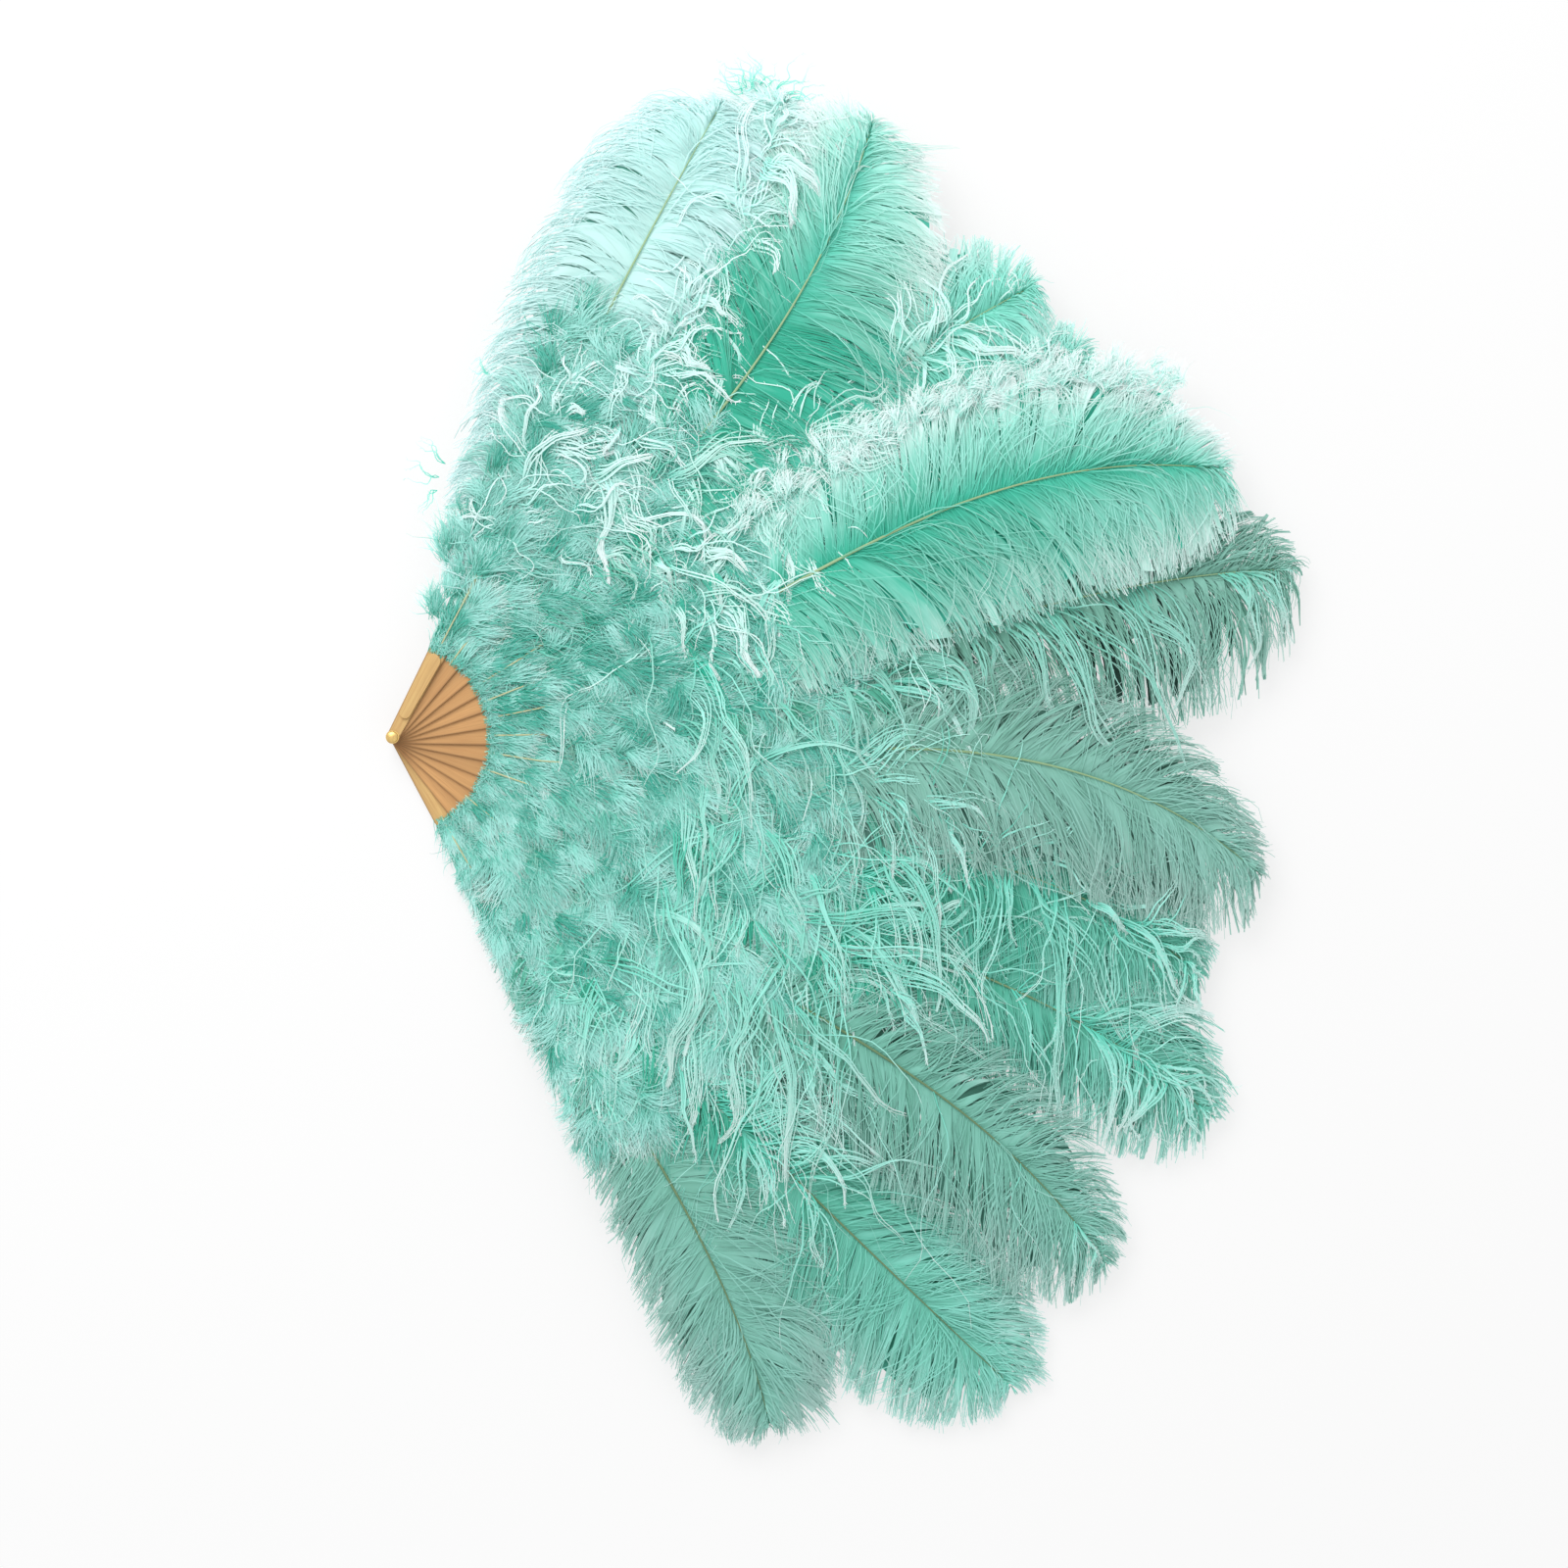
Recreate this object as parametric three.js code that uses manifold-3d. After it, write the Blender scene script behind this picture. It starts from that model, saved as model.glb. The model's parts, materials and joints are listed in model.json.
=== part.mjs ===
// A large folding feather fan, lying open on its back: thirteen bamboo staves turn on one pivot bolt,
// and each holds a long ostrich plume with a shorter downy plume in front of it. A ribbon stops the
// staves at their full spread.
//
// Lengths are in millimetres. The origin is on the pivot's axis at the rear face. +X runs along the
// middle of the open fan, +Z to its front, and the front guard is on the +Y side.

import * as THREE from "three";
import { mergeVertices } from "three/addons/utils/BufferGeometryUtils.js";
import Module from "manifold-3d";

// Counts and angles, in degrees
const LEAVES = 13;
const REAR_GUARD_ANGLE = -60;
const SPREAD_ANGLE = 122;
const CURVE_STEPS = 4;
const ROUND_STEPS = 24;
const NUT_SIDES = 6;
const VANE_COLUMNS = 4;

// Clearance between pieces that touch or slide on each other
const FIT_GAP = 0.3;

// Staves, all of one outline, with distances along them counted from the pivot
const STAVE_THICKNESS = 2.2;
const STAVE_WIDTH = 17.5;
const PIVOT_END_RADIUS = 5.5;
const SHOULDER_DISTANCE = 92;
const SHOULDER_LENGTH = 6;
const TANG_WIDTH = 10;
const TANG_LENGTH = 34;
const TANG_CORNER = 1.5;
const SLOT_SETBACK = 2;

// The raised grips of the two guards
const GRIP_START_DISTANCE = 20;
const GRIP_LENGTH = 66;
const GRIP_EDGE = 1.2;
const FRONT_GRIP_THICKNESS = 2.8;
const GRIP_OVERRUN = 0.4;

// The ribbon between neighbouring staves
const RIBBON_WIDTH = 8;
const RIBBON_THICKNESS = 0.8;
const RIBBON_SETBACK = 8;
const RIBBON_NOTCH = 1.5;
const RIBBON_LAP = 3;

// The pivot
const SHANK_RADIUS = 2;
const HEAD_RADIUS = 5.2;
const HEAD_THICKNESS = 2.2;
const HEAD_RIM = 0.5;
const WASHER_RADIUS = 6.2;
const WASHER_THICKNESS = 0.6;
const NUT_RADIUS = 5;
const NUT_THICKNESS = 2;

// Feathers, with their reach counted from the pivot
const QUILL_WIDTH = 3;
const LONG_THICKNESS = 1;
const LONG_REACH = 850;
const LONG_HALF_WIDTH = 112;
const FRONT_REACH = 540;
const FRONT_HALF_WIDTH = 86;
const VANE_SETBACK = 6;
const NECK_LENGTH = 2;

// The arch of all the feathers: how high it rises, where, and what is left of it at the longest tip
const CROWN_HEIGHT = 45;
const CROWN_DISTANCE = 450;
const CROWN_TIP_HEIGHT = 6;
const STATION_STEP = 60;

// Each feather's reach and half widths, from the rear guard to the front one. The first side is the
// one towards the rear guard.
const LONG_REACH_SHARES = [0.86, 0.985, 0.97, 0.985, 0.92, 0.96, 1, 0.955, 0.865, 0.855, 0.85, 0.82, 0.775];
const LONG_REAR_SIDE_SHARES = [0.5, 0.8, 0.85, 0.85, 0.9, 0.95, 1.2, 1, 0.9, 0.85, 0.9, 0.85, 0.8];
const LONG_FRONT_SIDE_SHARES = [0.85, 0.8, 0.7, 0.85, 0.9, 0.85, 0.85, 0.9, 0.8, 0.75, 0.8, 0.8, 0.9];
const FRONT_REACH_SHARES = [0.8, 1, 0.93, 1, 0.93, 1, 0.96, 1, 0.96, 1, 0.95, 0.87, 0.7];
const FRONT_REAR_SIDE_SHARES = [0.5, 0.85, 0.9, 1, 1, 1, 1, 1, 1, 1, 1, 0.9, 0.8];
const FRONT_FRONT_SIDE_SHARES = [0.8, 0.85, 0.9, 0.9, 0.9, 0.9, 0.9, 0.9, 0.9, 0.9, 0.9, 0.85, 0.75];

// How far each long plume swings from its stave's line, in degrees, at BEND_SHARE of its vane and at
// its tip. A front plume swings by FRONT_BEND_SHARE of that.
const BEND_SHARE = 0.6;
const FRONT_BEND_SHARE = 0.5;
const MIDDLE_BENDS = [2, 2.3, 6.7, 7.5, 7.6, 7.5, 10, 11, 8, 4.5, 4, 3, 0.5];
const TIP_BENDS = [-1.5, 3.4, 3, 4.5, 2.7, -0.2, 9.5, 6.3, 7, 3.5, 10.5, 6.5, 0.3];

// A vane's outline: pairs of a share of its length and a share of its half width
const LONG_OUTLINE_SHARES = [
  [0, 0.2],
  [0.06, 0.4],
  [0.2, 0.66],
  [0.4, 0.88],
  [0.6, 1],
  [0.82, 0.98],
  [0.92, 0.84],
  [0.97, 0.62],
  [1, 0.34],
];
const FRONT_OUTLINE_SHARES = [
  [0, 0.34],
  [0.08, 0.55],
  [0.3, 0.8],
  [0.55, 1],
  [0.75, 0.95],
  [0.88, 0.75],
  [0.95, 0.5],
  [1, 0.2],
];
const TIP_STATION_SHARES = [0.92, 0.97];

// Places that follow from the sizes
const LAYER_PITCH = STAVE_THICKNESS + FIT_GAP;
const REAR_WASHER_HEIGHT = NUT_THICKNESS + FIT_GAP;
const FIRST_LAYER_HEIGHT = REAR_WASHER_HEIGHT + WASHER_THICKNESS + FIT_GAP;
const FRONT_WASHER_HEIGHT = FIRST_LAYER_HEIGHT + LEAVES * LAYER_PITCH;
const HEAD_HEIGHT = FRONT_WASHER_HEIGHT + WASHER_THICKNESS + FIT_GAP;
const BORE_RADIUS = SHANK_RADIUS + FIT_GAP;
const TANG_START = SHOULDER_DISTANCE + SHOULDER_LENGTH;
const TANG_END = TANG_START + TANG_LENGTH;
const SLOT_START = TANG_START + SLOT_SETBACK;
const SLOT_HALF_WIDTH = QUILL_WIDTH / 2 + FIT_GAP;
const RIBBON_START = TANG_START + RIBBON_SETBACK;
const RIBBON_END = RIBBON_START + RIBBON_WIDTH;
const VANE_START = TANG_END + VANE_SETBACK;
const FRONT_THICKNESS = STAVE_THICKNESS - LONG_THICKNESS - FIT_GAP;
const LEAF_ANGLE = SPREAD_ANGLE / (LEAVES - 1);

const wasm = await Module();
wasm.setup();

const bamboo = new THREE.MeshStandardMaterial({ color: 0xd2a069, roughness: 0.55, metalness: 0 });
const guardBamboo = new THREE.MeshStandardMaterial({ color: 0xe1b46e, roughness: 0.5, metalness: 0 });
const brass = new THREE.MeshStandardMaterial({ color: 0xc9a35a, roughness: 0.35, metalness: 1 });
const satin = new THREE.MeshStandardMaterial({ color: 0x9fd9c2, roughness: 0.6, metalness: 0 });
const longFeather = new THREE.MeshStandardMaterial({ color: 0x82d7b9, roughness: 0.9, metalness: 0 });
const frontFeather = new THREE.MeshStandardMaterial({ color: 0xa8ead3, roughness: 0.9, metalness: 0 });

function namedMesh(name, geometry, material) {
  const mesh = new THREE.Mesh(geometry, material.clone());
  mesh.name = name;
  return mesh;
}

function twoDigits(number) {
  return String(number).padStart(2, "0");
}

// A closed geometry as a solid that can be joined to another
function solidOf(geometry) {
  const bare = geometry.clone();
  bare.deleteAttribute("normal");
  bare.deleteAttribute("uv");
  const merged = mergeVertices(bare);
  return new wasm.Manifold(
    new wasm.Mesh({
      numProp: 3,
      vertProperties: merged.attributes.position.array,
      triVerts: new Uint32Array(merged.index.array),
    }),
  );
}

function geometryOf(solid) {
  const mesh = solid.getMesh();
  const geometry = new THREE.BufferGeometry();
  geometry.setAttribute("position", new THREE.BufferAttribute(mesh.vertProperties, 3));
  geometry.setIndex(new THREE.BufferAttribute(mesh.triVerts, 1));
  geometry.computeVertexNormals();
  return geometry;
}

function slab(shape, bottom, thickness) {
  const geometry = new THREE.ExtrudeGeometry(shape, {
    depth: thickness,
    bevelEnabled: false,
    curveSegments: CURVE_STEPS,
  });
  return geometry.translate(0, 0, bottom);
}

// A round hole in two half turns, so that it has twice the steps of an outline's own arcs
function roundHole(radius) {
  const hole = new THREE.Path();
  hole.absarc(0, 0, radius, 0, Math.PI, false);
  hole.absarc(0, 0, radius, Math.PI, 2 * Math.PI, false);
  return hole;
}

// The value at a share along a table of pairs, straight between them
function tableAt(pairs, share) {
  const next = pairs.findIndex(([at]) => at >= share);
  if (next < 0) return pairs.at(-1)[1];
  if (next === 0) return pairs[0][1];
  const [from, low] = pairs[next - 1];
  const [to, high] = pairs[next];
  return THREE.MathUtils.mapLinear(share, from, to, low, high);
}

// A stave seen from the front, along +X: round at the pivot, wider up to the shoulder, then a narrow
// tang that is slotted for the quills and notched on its +Y edge for the ribbon
function staveShape(notched) {
  const blade = STAVE_WIDTH / 2;
  const tang = TANG_WIDTH / 2;
  const middle = SHOULDER_DISTANCE + SHOULDER_LENGTH / 2;
  const shape = new THREE.Shape();
  shape.moveTo(SLOT_START, -SLOT_HALF_WIDTH);
  shape.lineTo(TANG_END, -SLOT_HALF_WIDTH);
  shape.lineTo(TANG_END, TANG_CORNER - tang);
  shape.quadraticCurveTo(TANG_END, -tang, TANG_END - TANG_CORNER, -tang);
  shape.lineTo(TANG_START, -tang);
  shape.bezierCurveTo(middle, -tang, middle, -blade, SHOULDER_DISTANCE, -blade);
  shape.lineTo(0, -PIVOT_END_RADIUS);
  shape.absarc(0, 0, PIVOT_END_RADIUS, -Math.PI / 2, Math.PI / 2, true);
  shape.lineTo(SHOULDER_DISTANCE, blade);
  shape.bezierCurveTo(middle, blade, middle, tang, TANG_START, tang);
  if (notched) {
    shape.lineTo(RIBBON_START - FIT_GAP, tang);
    shape.lineTo(RIBBON_START - FIT_GAP, tang - RIBBON_NOTCH);
    shape.lineTo(RIBBON_END + FIT_GAP, tang - RIBBON_NOTCH);
    shape.lineTo(RIBBON_END + FIT_GAP, tang);
  }
  shape.lineTo(TANG_END - TANG_CORNER, tang);
  shape.quadraticCurveTo(TANG_END, tang, TANG_END, tang - TANG_CORNER);
  shape.lineTo(TANG_END, SLOT_HALF_WIDTH);
  shape.lineTo(SLOT_START, SLOT_HALF_WIDTH);
  shape.closePath();
  shape.holes.push(roundHole(BORE_RADIUS));
  return shape;
}

// A guard's grip: it follows the stave's sides at a small distance, and its ends are round
function gripShape() {
  const sideAt = (distance) =>
    THREE.MathUtils.mapLinear(distance, 0, SHOULDER_DISTANCE, PIVOT_END_RADIUS, STAVE_WIDTH / 2) - GRIP_EDGE;
  const near = sideAt(GRIP_START_DISTANCE);
  const end = GRIP_START_DISTANCE + GRIP_LENGTH;
  const far = sideAt(end);
  const shape = new THREE.Shape();
  shape.absarc(GRIP_START_DISTANCE + near, 0, near, Math.PI / 2, -Math.PI / 2, false);
  shape.lineTo(end - far, -far);
  shape.absarc(end - far, 0, far, -Math.PI / 2, Math.PI / 2, false);
  shape.closePath();
  return shape;
}

function guardGeometry(notched, gripBottom, gripThickness) {
  const stave = solidOf(slab(staveShape(notched), 0, STAVE_THICKNESS));
  const grip = solidOf(slab(gripShape(), gripBottom, gripThickness));
  return geometryOf(stave.add(grip));
}

function rearGuardGeometry() {
  return guardGeometry(true, -FIRST_LAYER_HEIGHT, FIRST_LAYER_HEIGHT + GRIP_OVERRUN);
}

function frontGuardGeometry() {
  return guardGeometry(false, STAVE_THICKNESS - GRIP_OVERRUN, FRONT_GRIP_THICKNESS + GRIP_OVERRUN);
}

// A ribbon link lies in its stave's notch and reaches under the next stave's tang
function ribbonGeometry() {
  const middle = RIBBON_START + RIBBON_WIDTH / 2;
  const from = Math.asin((TANG_WIDTH / 2 - RIBBON_NOTCH + FIT_GAP) / RIBBON_START);
  const lap = Math.asin((TANG_WIDTH / 2 - RIBBON_LAP) / middle);
  const to = THREE.MathUtils.degToRad(LEAF_ANGLE) - lap;
  const corners = [
    [RIBBON_START, from],
    [RIBBON_END, from],
    [RIBBON_END, to],
    [RIBBON_START, to],
  ];
  const shape = new THREE.Shape(
    corners.map(([at, angle]) => new THREE.Vector2(at * Math.cos(angle), at * Math.sin(angle))),
  );
  return slab(shape, STAVE_THICKNESS - RIBBON_THICKNESS, RIBBON_THICKNESS);
}

// The arch's height at a distance from the pivot, straight between stations that all feathers share,
// so that neighbours lie one layer apart everywhere and pass each other at any opening
function crownAt(distance) {
  const smooth = (at) => {
    if (at < CROWN_DISTANCE) return CROWN_HEIGHT * THREE.MathUtils.smoothstep(at, VANE_START, CROWN_DISTANCE);
    const fall = THREE.MathUtils.smoothstep(at, CROWN_DISTANCE, LONG_REACH);
    return THREE.MathUtils.lerp(CROWN_HEIGHT, CROWN_TIP_HEIGHT, fall);
  };
  if (distance <= VANE_START) return 0;
  const steps = Math.floor((distance - VANE_START) / STATION_STEP);
  const from = VANE_START + steps * STATION_STEP;
  const to = from + STATION_STEP;
  return THREE.MathUtils.mapLinear(distance, from, to, smooth(from), smooth(to));
}

// The stations of one feather: the quill's two ends, the shared ones of the arch, and a few more near
// the tip
function stationsTo(reach) {
  const stations = [SLOT_START + FIT_GAP, TANG_END + NECK_LENGTH, VANE_START];
  for (let at = VANE_START + STATION_STEP; at < reach; at += STATION_STEP) stations.push(at);
  for (const share of TIP_STATION_SHARES) stations.push(THREE.MathUtils.lerp(VANE_START, reach, share));
  stations.push(reach);
  return stations.sort((a, b) => a - b);
}

// How far a feather has swung from its stave's line at a share of its vane, in radians
function swingAt(share, middleBend, tipBend) {
  const slope = (middleBend - BEND_SHARE ** 2 * tipBend) / (BEND_SHARE - BEND_SHARE ** 2);
  return THREE.MathUtils.degToRad(slope * share + (tipBend - slope) * share ** 2);
}

// One feather as a thin closed blade: the quill in its slot, then the vane over the arch
function featherGeometry({ reach, rearWidth, frontWidth, outline, bends, bottom, thickness }) {
  const stations = stationsTo(reach);
  const columns = VANE_COLUMNS + 1;
  const positions = [];
  for (const distance of stations) {
    const share = Math.max(0, (distance - VANE_START) / (reach - VANE_START));
    const quill = distance < VANE_START;
    const width = tableAt(outline, share);
    const rear = (quill ? QUILL_WIDTH / 2 : rearWidth * width) / distance;
    const front = (quill ? QUILL_WIDTH / 2 : frontWidth * width) / distance;
    const swing = swingAt(share, ...bends);
    for (let column = 0; column < columns; column++) {
      const across = (2 * column) / VANE_COLUMNS - 1;
      const angle = swing + across * (across < 0 ? rear : front);
      for (const height of [bottom, bottom + thickness])
        positions.push(distance * Math.cos(angle), distance * Math.sin(angle), height + crownAt(distance));
    }
  }
  const vertex = (station, column, side) => 2 * (station * columns + column) + side;
  const last = stations.length - 1;
  const indices = [];
  for (let i = 0; i < last; i++)
    for (let j = 0; j < VANE_COLUMNS; j++)
      for (const side of [0, 1]) {
        const near = [vertex(i, j, side), vertex(i, j + 1, side)];
        const far = [vertex(i + 1, j, side), vertex(i + 1, j + 1, side)];
        if (side === 1) indices.push(near[0], far[0], far[1], near[0], far[1], near[1]);
        else indices.push(near[0], far[1], far[0], near[0], near[1], far[1]);
      }
  const rim = [];
  for (let i = 0; i < last; i++) rim.push([i, 0]);
  for (let j = 0; j < VANE_COLUMNS; j++) rim.push([last, j]);
  for (let i = last; i > 0; i--) rim.push([i, VANE_COLUMNS]);
  for (let j = VANE_COLUMNS; j > 0; j--) rim.push([0, j]);
  rim.forEach((here, index) => {
    const next = rim[(index + 1) % rim.length];
    indices.push(vertex(...here, 0), vertex(...next, 0), vertex(...next, 1));
    indices.push(vertex(...here, 0), vertex(...next, 1), vertex(...here, 1));
  });
  const geometry = new THREE.BufferGeometry();
  geometry.setAttribute("position", new THREE.Float32BufferAttribute(positions, 3));
  geometry.setIndex(indices);
  geometry.computeVertexNormals();
  return geometry;
}

function longPlumeGeometry(index) {
  return featherGeometry({
    reach: LONG_REACH * LONG_REACH_SHARES[index],
    rearWidth: LONG_HALF_WIDTH * LONG_REAR_SIDE_SHARES[index],
    frontWidth: LONG_HALF_WIDTH * LONG_FRONT_SIDE_SHARES[index],
    outline: LONG_OUTLINE_SHARES,
    bends: [MIDDLE_BENDS[index], TIP_BENDS[index]],
    bottom: 0,
    thickness: LONG_THICKNESS,
  });
}

function frontPlumeGeometry(index) {
  return featherGeometry({
    reach: FRONT_REACH * FRONT_REACH_SHARES[index],
    rearWidth: FRONT_HALF_WIDTH * FRONT_REAR_SIDE_SHARES[index],
    frontWidth: FRONT_HALF_WIDTH * FRONT_FRONT_SIDE_SHARES[index],
    outline: FRONT_OUTLINE_SHARES,
    bends: [FRONT_BEND_SHARE * MIDDLE_BENDS[index], FRONT_BEND_SHARE * TIP_BENDS[index]],
    bottom: LONG_THICKNESS + FIT_GAP,
    thickness: FRONT_THICKNESS,
  });
}

function staveMesh(index) {
  if (index === 0) return namedMesh("rear_guard", rearGuardGeometry(), guardBamboo);
  if (index === LEAVES - 1) return namedMesh("front_guard", frontGuardGeometry(), guardBamboo);
  return namedMesh("stave_" + twoDigits(index + 1), slab(staveShape(true), 0, STAVE_THICKNESS), bamboo);
}

// A leaf is one stave with its two feathers and the ribbon link in its notch. It turns about the pivot.
function leafGroup(index) {
  const leaf = new THREE.Group();
  const number = twoDigits(index + 1);
  leaf.add(staveMesh(index));
  leaf.add(namedMesh("plume_" + number, longPlumeGeometry(index), longFeather));
  leaf.add(namedMesh("front_plume_" + number, frontPlumeGeometry(index), frontFeather));
  if (index < LEAVES - 1) leaf.add(namedMesh("ribbon_" + number, ribbonGeometry(), satin));
  leaf.position.z = FIRST_LAYER_HEIGHT + index * LAYER_PITCH;
  leaf.rotation.z = THREE.MathUtils.degToRad(REAR_GUARD_ANGLE + index * LEAF_ANGLE);
  return leaf;
}

// The bolt's shank runs from the rear face to a domed head
function boltGeometry() {
  const top = HEAD_HEIGHT + HEAD_THICKNESS;
  const dome = new THREE.EllipseCurve(
    0, HEAD_HEIGHT + HEAD_RIM, HEAD_RADIUS, HEAD_THICKNESS - HEAD_RIM, 0, Math.PI / 2, false,
  );
  const profile = [
    new THREE.Vector2(0, 0),
    new THREE.Vector2(SHANK_RADIUS, 0),
    new THREE.Vector2(SHANK_RADIUS, HEAD_HEIGHT),
    new THREE.Vector2(HEAD_RADIUS, HEAD_HEIGHT),
    ...dome.getPoints(CURVE_STEPS).slice(0, -1),
    new THREE.Vector2(0, top),
  ];
  return new THREE.LatheGeometry(profile, ROUND_STEPS).rotateX(Math.PI / 2);
}

function washerGeometry(bottom) {
  const shape = new THREE.Shape();
  shape.absarc(0, 0, WASHER_RADIUS, 0, Math.PI, false);
  shape.absarc(0, 0, WASHER_RADIUS, Math.PI, 2 * Math.PI, false);
  shape.holes.push(roundHole(BORE_RADIUS));
  return slab(shape, bottom, WASHER_THICKNESS);
}

function nutGeometry() {
  const corners = [];
  for (let i = 0; i < NUT_SIDES; i++) {
    const turn = (2 * Math.PI * i) / NUT_SIDES;
    corners.push(new THREE.Vector2(NUT_RADIUS * Math.cos(turn), NUT_RADIUS * Math.sin(turn)));
  }
  const shape = new THREE.Shape(corners);
  shape.holes.push(roundHole(BORE_RADIUS));
  return slab(shape, 0, NUT_THICKNESS);
}

const fan = new THREE.Group();
for (let index = 0; index < LEAVES; index++) fan.add(leafGroup(index));
fan.add(namedMesh("pivot_bolt", boltGeometry(), brass));
fan.add(namedMesh("rear_washer", washerGeometry(REAR_WASHER_HEIGHT), brass));
fan.add(namedMesh("front_washer", washerGeometry(FRONT_WASHER_HEIGHT), brass));
fan.add(namedMesh("pivot_nut", nutGeometry(), brass));

export default fan;
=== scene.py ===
"""Dresses a large folding feather fan: bamboo staves, a brass pivot, satin ribbon links, and ostrich
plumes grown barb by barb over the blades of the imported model.

Lengths are in metres and angles in radians, apart from the tables that say otherwise. The fan lies on
its back: +X runs along the middle of the open fan, +Z to its front, and the barbs sag towards -Y.
"""

import json
import math
from dataclasses import dataclass, replace
from functools import partial

import bpy
import numpy as np
from bpy.props import FloatProperty, FloatVectorProperty, IntProperty, PointerProperty
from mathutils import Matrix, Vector

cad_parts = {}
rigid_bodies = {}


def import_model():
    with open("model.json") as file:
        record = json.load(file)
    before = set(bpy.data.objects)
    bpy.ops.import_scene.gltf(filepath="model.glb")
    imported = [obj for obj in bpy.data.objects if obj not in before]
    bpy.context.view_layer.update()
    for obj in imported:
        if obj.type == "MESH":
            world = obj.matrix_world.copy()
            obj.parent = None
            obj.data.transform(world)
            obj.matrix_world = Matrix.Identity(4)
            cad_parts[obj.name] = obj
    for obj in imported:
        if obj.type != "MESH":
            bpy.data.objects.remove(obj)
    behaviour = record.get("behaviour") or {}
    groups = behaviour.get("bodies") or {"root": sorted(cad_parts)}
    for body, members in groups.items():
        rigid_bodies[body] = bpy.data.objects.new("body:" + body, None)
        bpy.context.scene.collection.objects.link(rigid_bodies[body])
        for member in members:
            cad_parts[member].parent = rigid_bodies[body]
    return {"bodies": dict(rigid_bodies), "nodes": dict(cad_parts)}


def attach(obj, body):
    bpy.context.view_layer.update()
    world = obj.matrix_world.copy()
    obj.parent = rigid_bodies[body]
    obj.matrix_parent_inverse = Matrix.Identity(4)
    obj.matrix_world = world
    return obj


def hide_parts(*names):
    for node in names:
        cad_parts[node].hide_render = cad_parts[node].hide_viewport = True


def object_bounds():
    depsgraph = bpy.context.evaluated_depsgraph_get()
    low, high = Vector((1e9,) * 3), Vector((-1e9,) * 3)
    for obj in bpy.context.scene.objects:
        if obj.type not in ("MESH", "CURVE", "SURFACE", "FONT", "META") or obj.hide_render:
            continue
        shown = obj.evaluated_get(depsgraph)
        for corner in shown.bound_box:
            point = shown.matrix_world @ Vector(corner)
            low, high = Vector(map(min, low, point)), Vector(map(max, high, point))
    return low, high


bl_info = {
    "name": "Folding Feather Fan",
    "version": (1, 0, 0),
    "blender": (4, 5, 0),
    "location": "3D View > Sidebar > Feather Fan",
    "description": "Dresses a folding fan of ostrich plumes on bamboo staves",
    "category": "Object",
}

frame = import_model()
CAD_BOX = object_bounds()

MM = 0.001
LEAVES = len(frame["bodies"])
TURN = 2 * math.pi

# The ground's direction as the fan is held up: barbs sag that way
GROUND = -math.pi / 2

# The visual model stays inside these heights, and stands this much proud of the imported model's sides
LOWEST = 0.6 * MM
HIGHEST = CAD_BOX[1].z + 10.5 * MM
PROUD_SIDE = 28 * MM
PROUD_END = 42 * MM

# How far points may differ and still lie on one station, or one column, of a blade
STATION_MATCH = 0.4 * MM
COLUMN_MATCH = 0.001

# The down hides the staves between these distances from the pivot. On the first leaf it ends along this
# direction from the pivot.
DOWN_START = 83 * MM
DOWN_END = 410 * MM
REAR_LIMIT = math.radians(-66.5)

# Each list below holds a number for each leaf, from the rear guard to the front one.
# Pairs are for the rear and the front side of the long plume.
# How far a level barb turns towards the ground, in radians
DROOP = (
    [0.7, 0.8, 0.8, 1.2, 1.2, 0.8, 2.0, 0.9, 1.0, 0.9, 0.7, 0.9, 0.5],
    [0.8, 0.9, 0.9, 1.3, 1.3, 1.2, 1.4, 1.1, 1.2, 1.1, 0.6, 1.0, 1.5],
)
# The lean of the barbs against the usual lean
LEAN = (
    [1.0, 1.0, 0.8, 0.9, 0.9, 0.7, 1.0, 0.85, 1.0, 1.0, 1.15, 1.0, 1.2],
    [1.0, 1.0, 1.15, 1.0, 1.0, 1.0, 0.9, 1.0, 1.0, 1.0, 0.75, 1.0, 1.2],
)
# How far the soft edge of the vane lies beyond its blade, in millimetres
EDGE = (
    [18, 24, 6, 0, 0, 0, 4, 0, 0, 2, 42, 2, 0],
    [32, 8, 0, 8, 6, 0, 0, 8, 2, 12, 4, 0, -6],
)
# How ruffled the long plume is, and how wildly the front plume's locks turn
TOUSLE = [0.1, 0.38, 0.35, 0.42, 0.42, 0.1, 0.35, 0.15, 0.75, 0.8, 0.1, 1.0, 0.1]
CHAOS = [0.2, 0.2, 0.3, 0.2, 0.1, 0.2, 0.3, 0.5, 0.7, 0.9, 1.0, 1.0, 0.9]
# How dark the bed under the long plume's vane is against its barbs. The bed is painted shade: a dimmed copy
# of the barbs' colours that stands for the shade between and under them
BED_PAINTED_SHADE = [0.55, 0.75, 0.4, 0.5, 0.6, 0.4, 0.12, 0.95, 0.8, 0.8, 0.85, 0.8, 0.95]
# How pale the barbs are, and the down
LEAF_LIGHT = [0.52, 0.34, 0.42, 0.2, 0.1, 0.46, 0.12, 0.34, 0.28, 0.3, 0.0, 0.5, 0.56]
DOWN_LIGHT = [0.76, 0.76, 0.74, 0.68, 0.58, 0.5, 0.46, 0.42, 0.42, 0.46, 0.5, 0.6, 0.75]
# How much paler the long plume is near its tip, and where on the vane that starts and how soon it is full
TIP_LIGHT = [0.3, 0.4, 0.25, 0.3, 0.25, 0.3, 0.3, 0.35, 0.5, 0.5, 1.0, 0.8, 0.3]
TIP_START = 0.58
TIP_BLEND = 0.3
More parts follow.
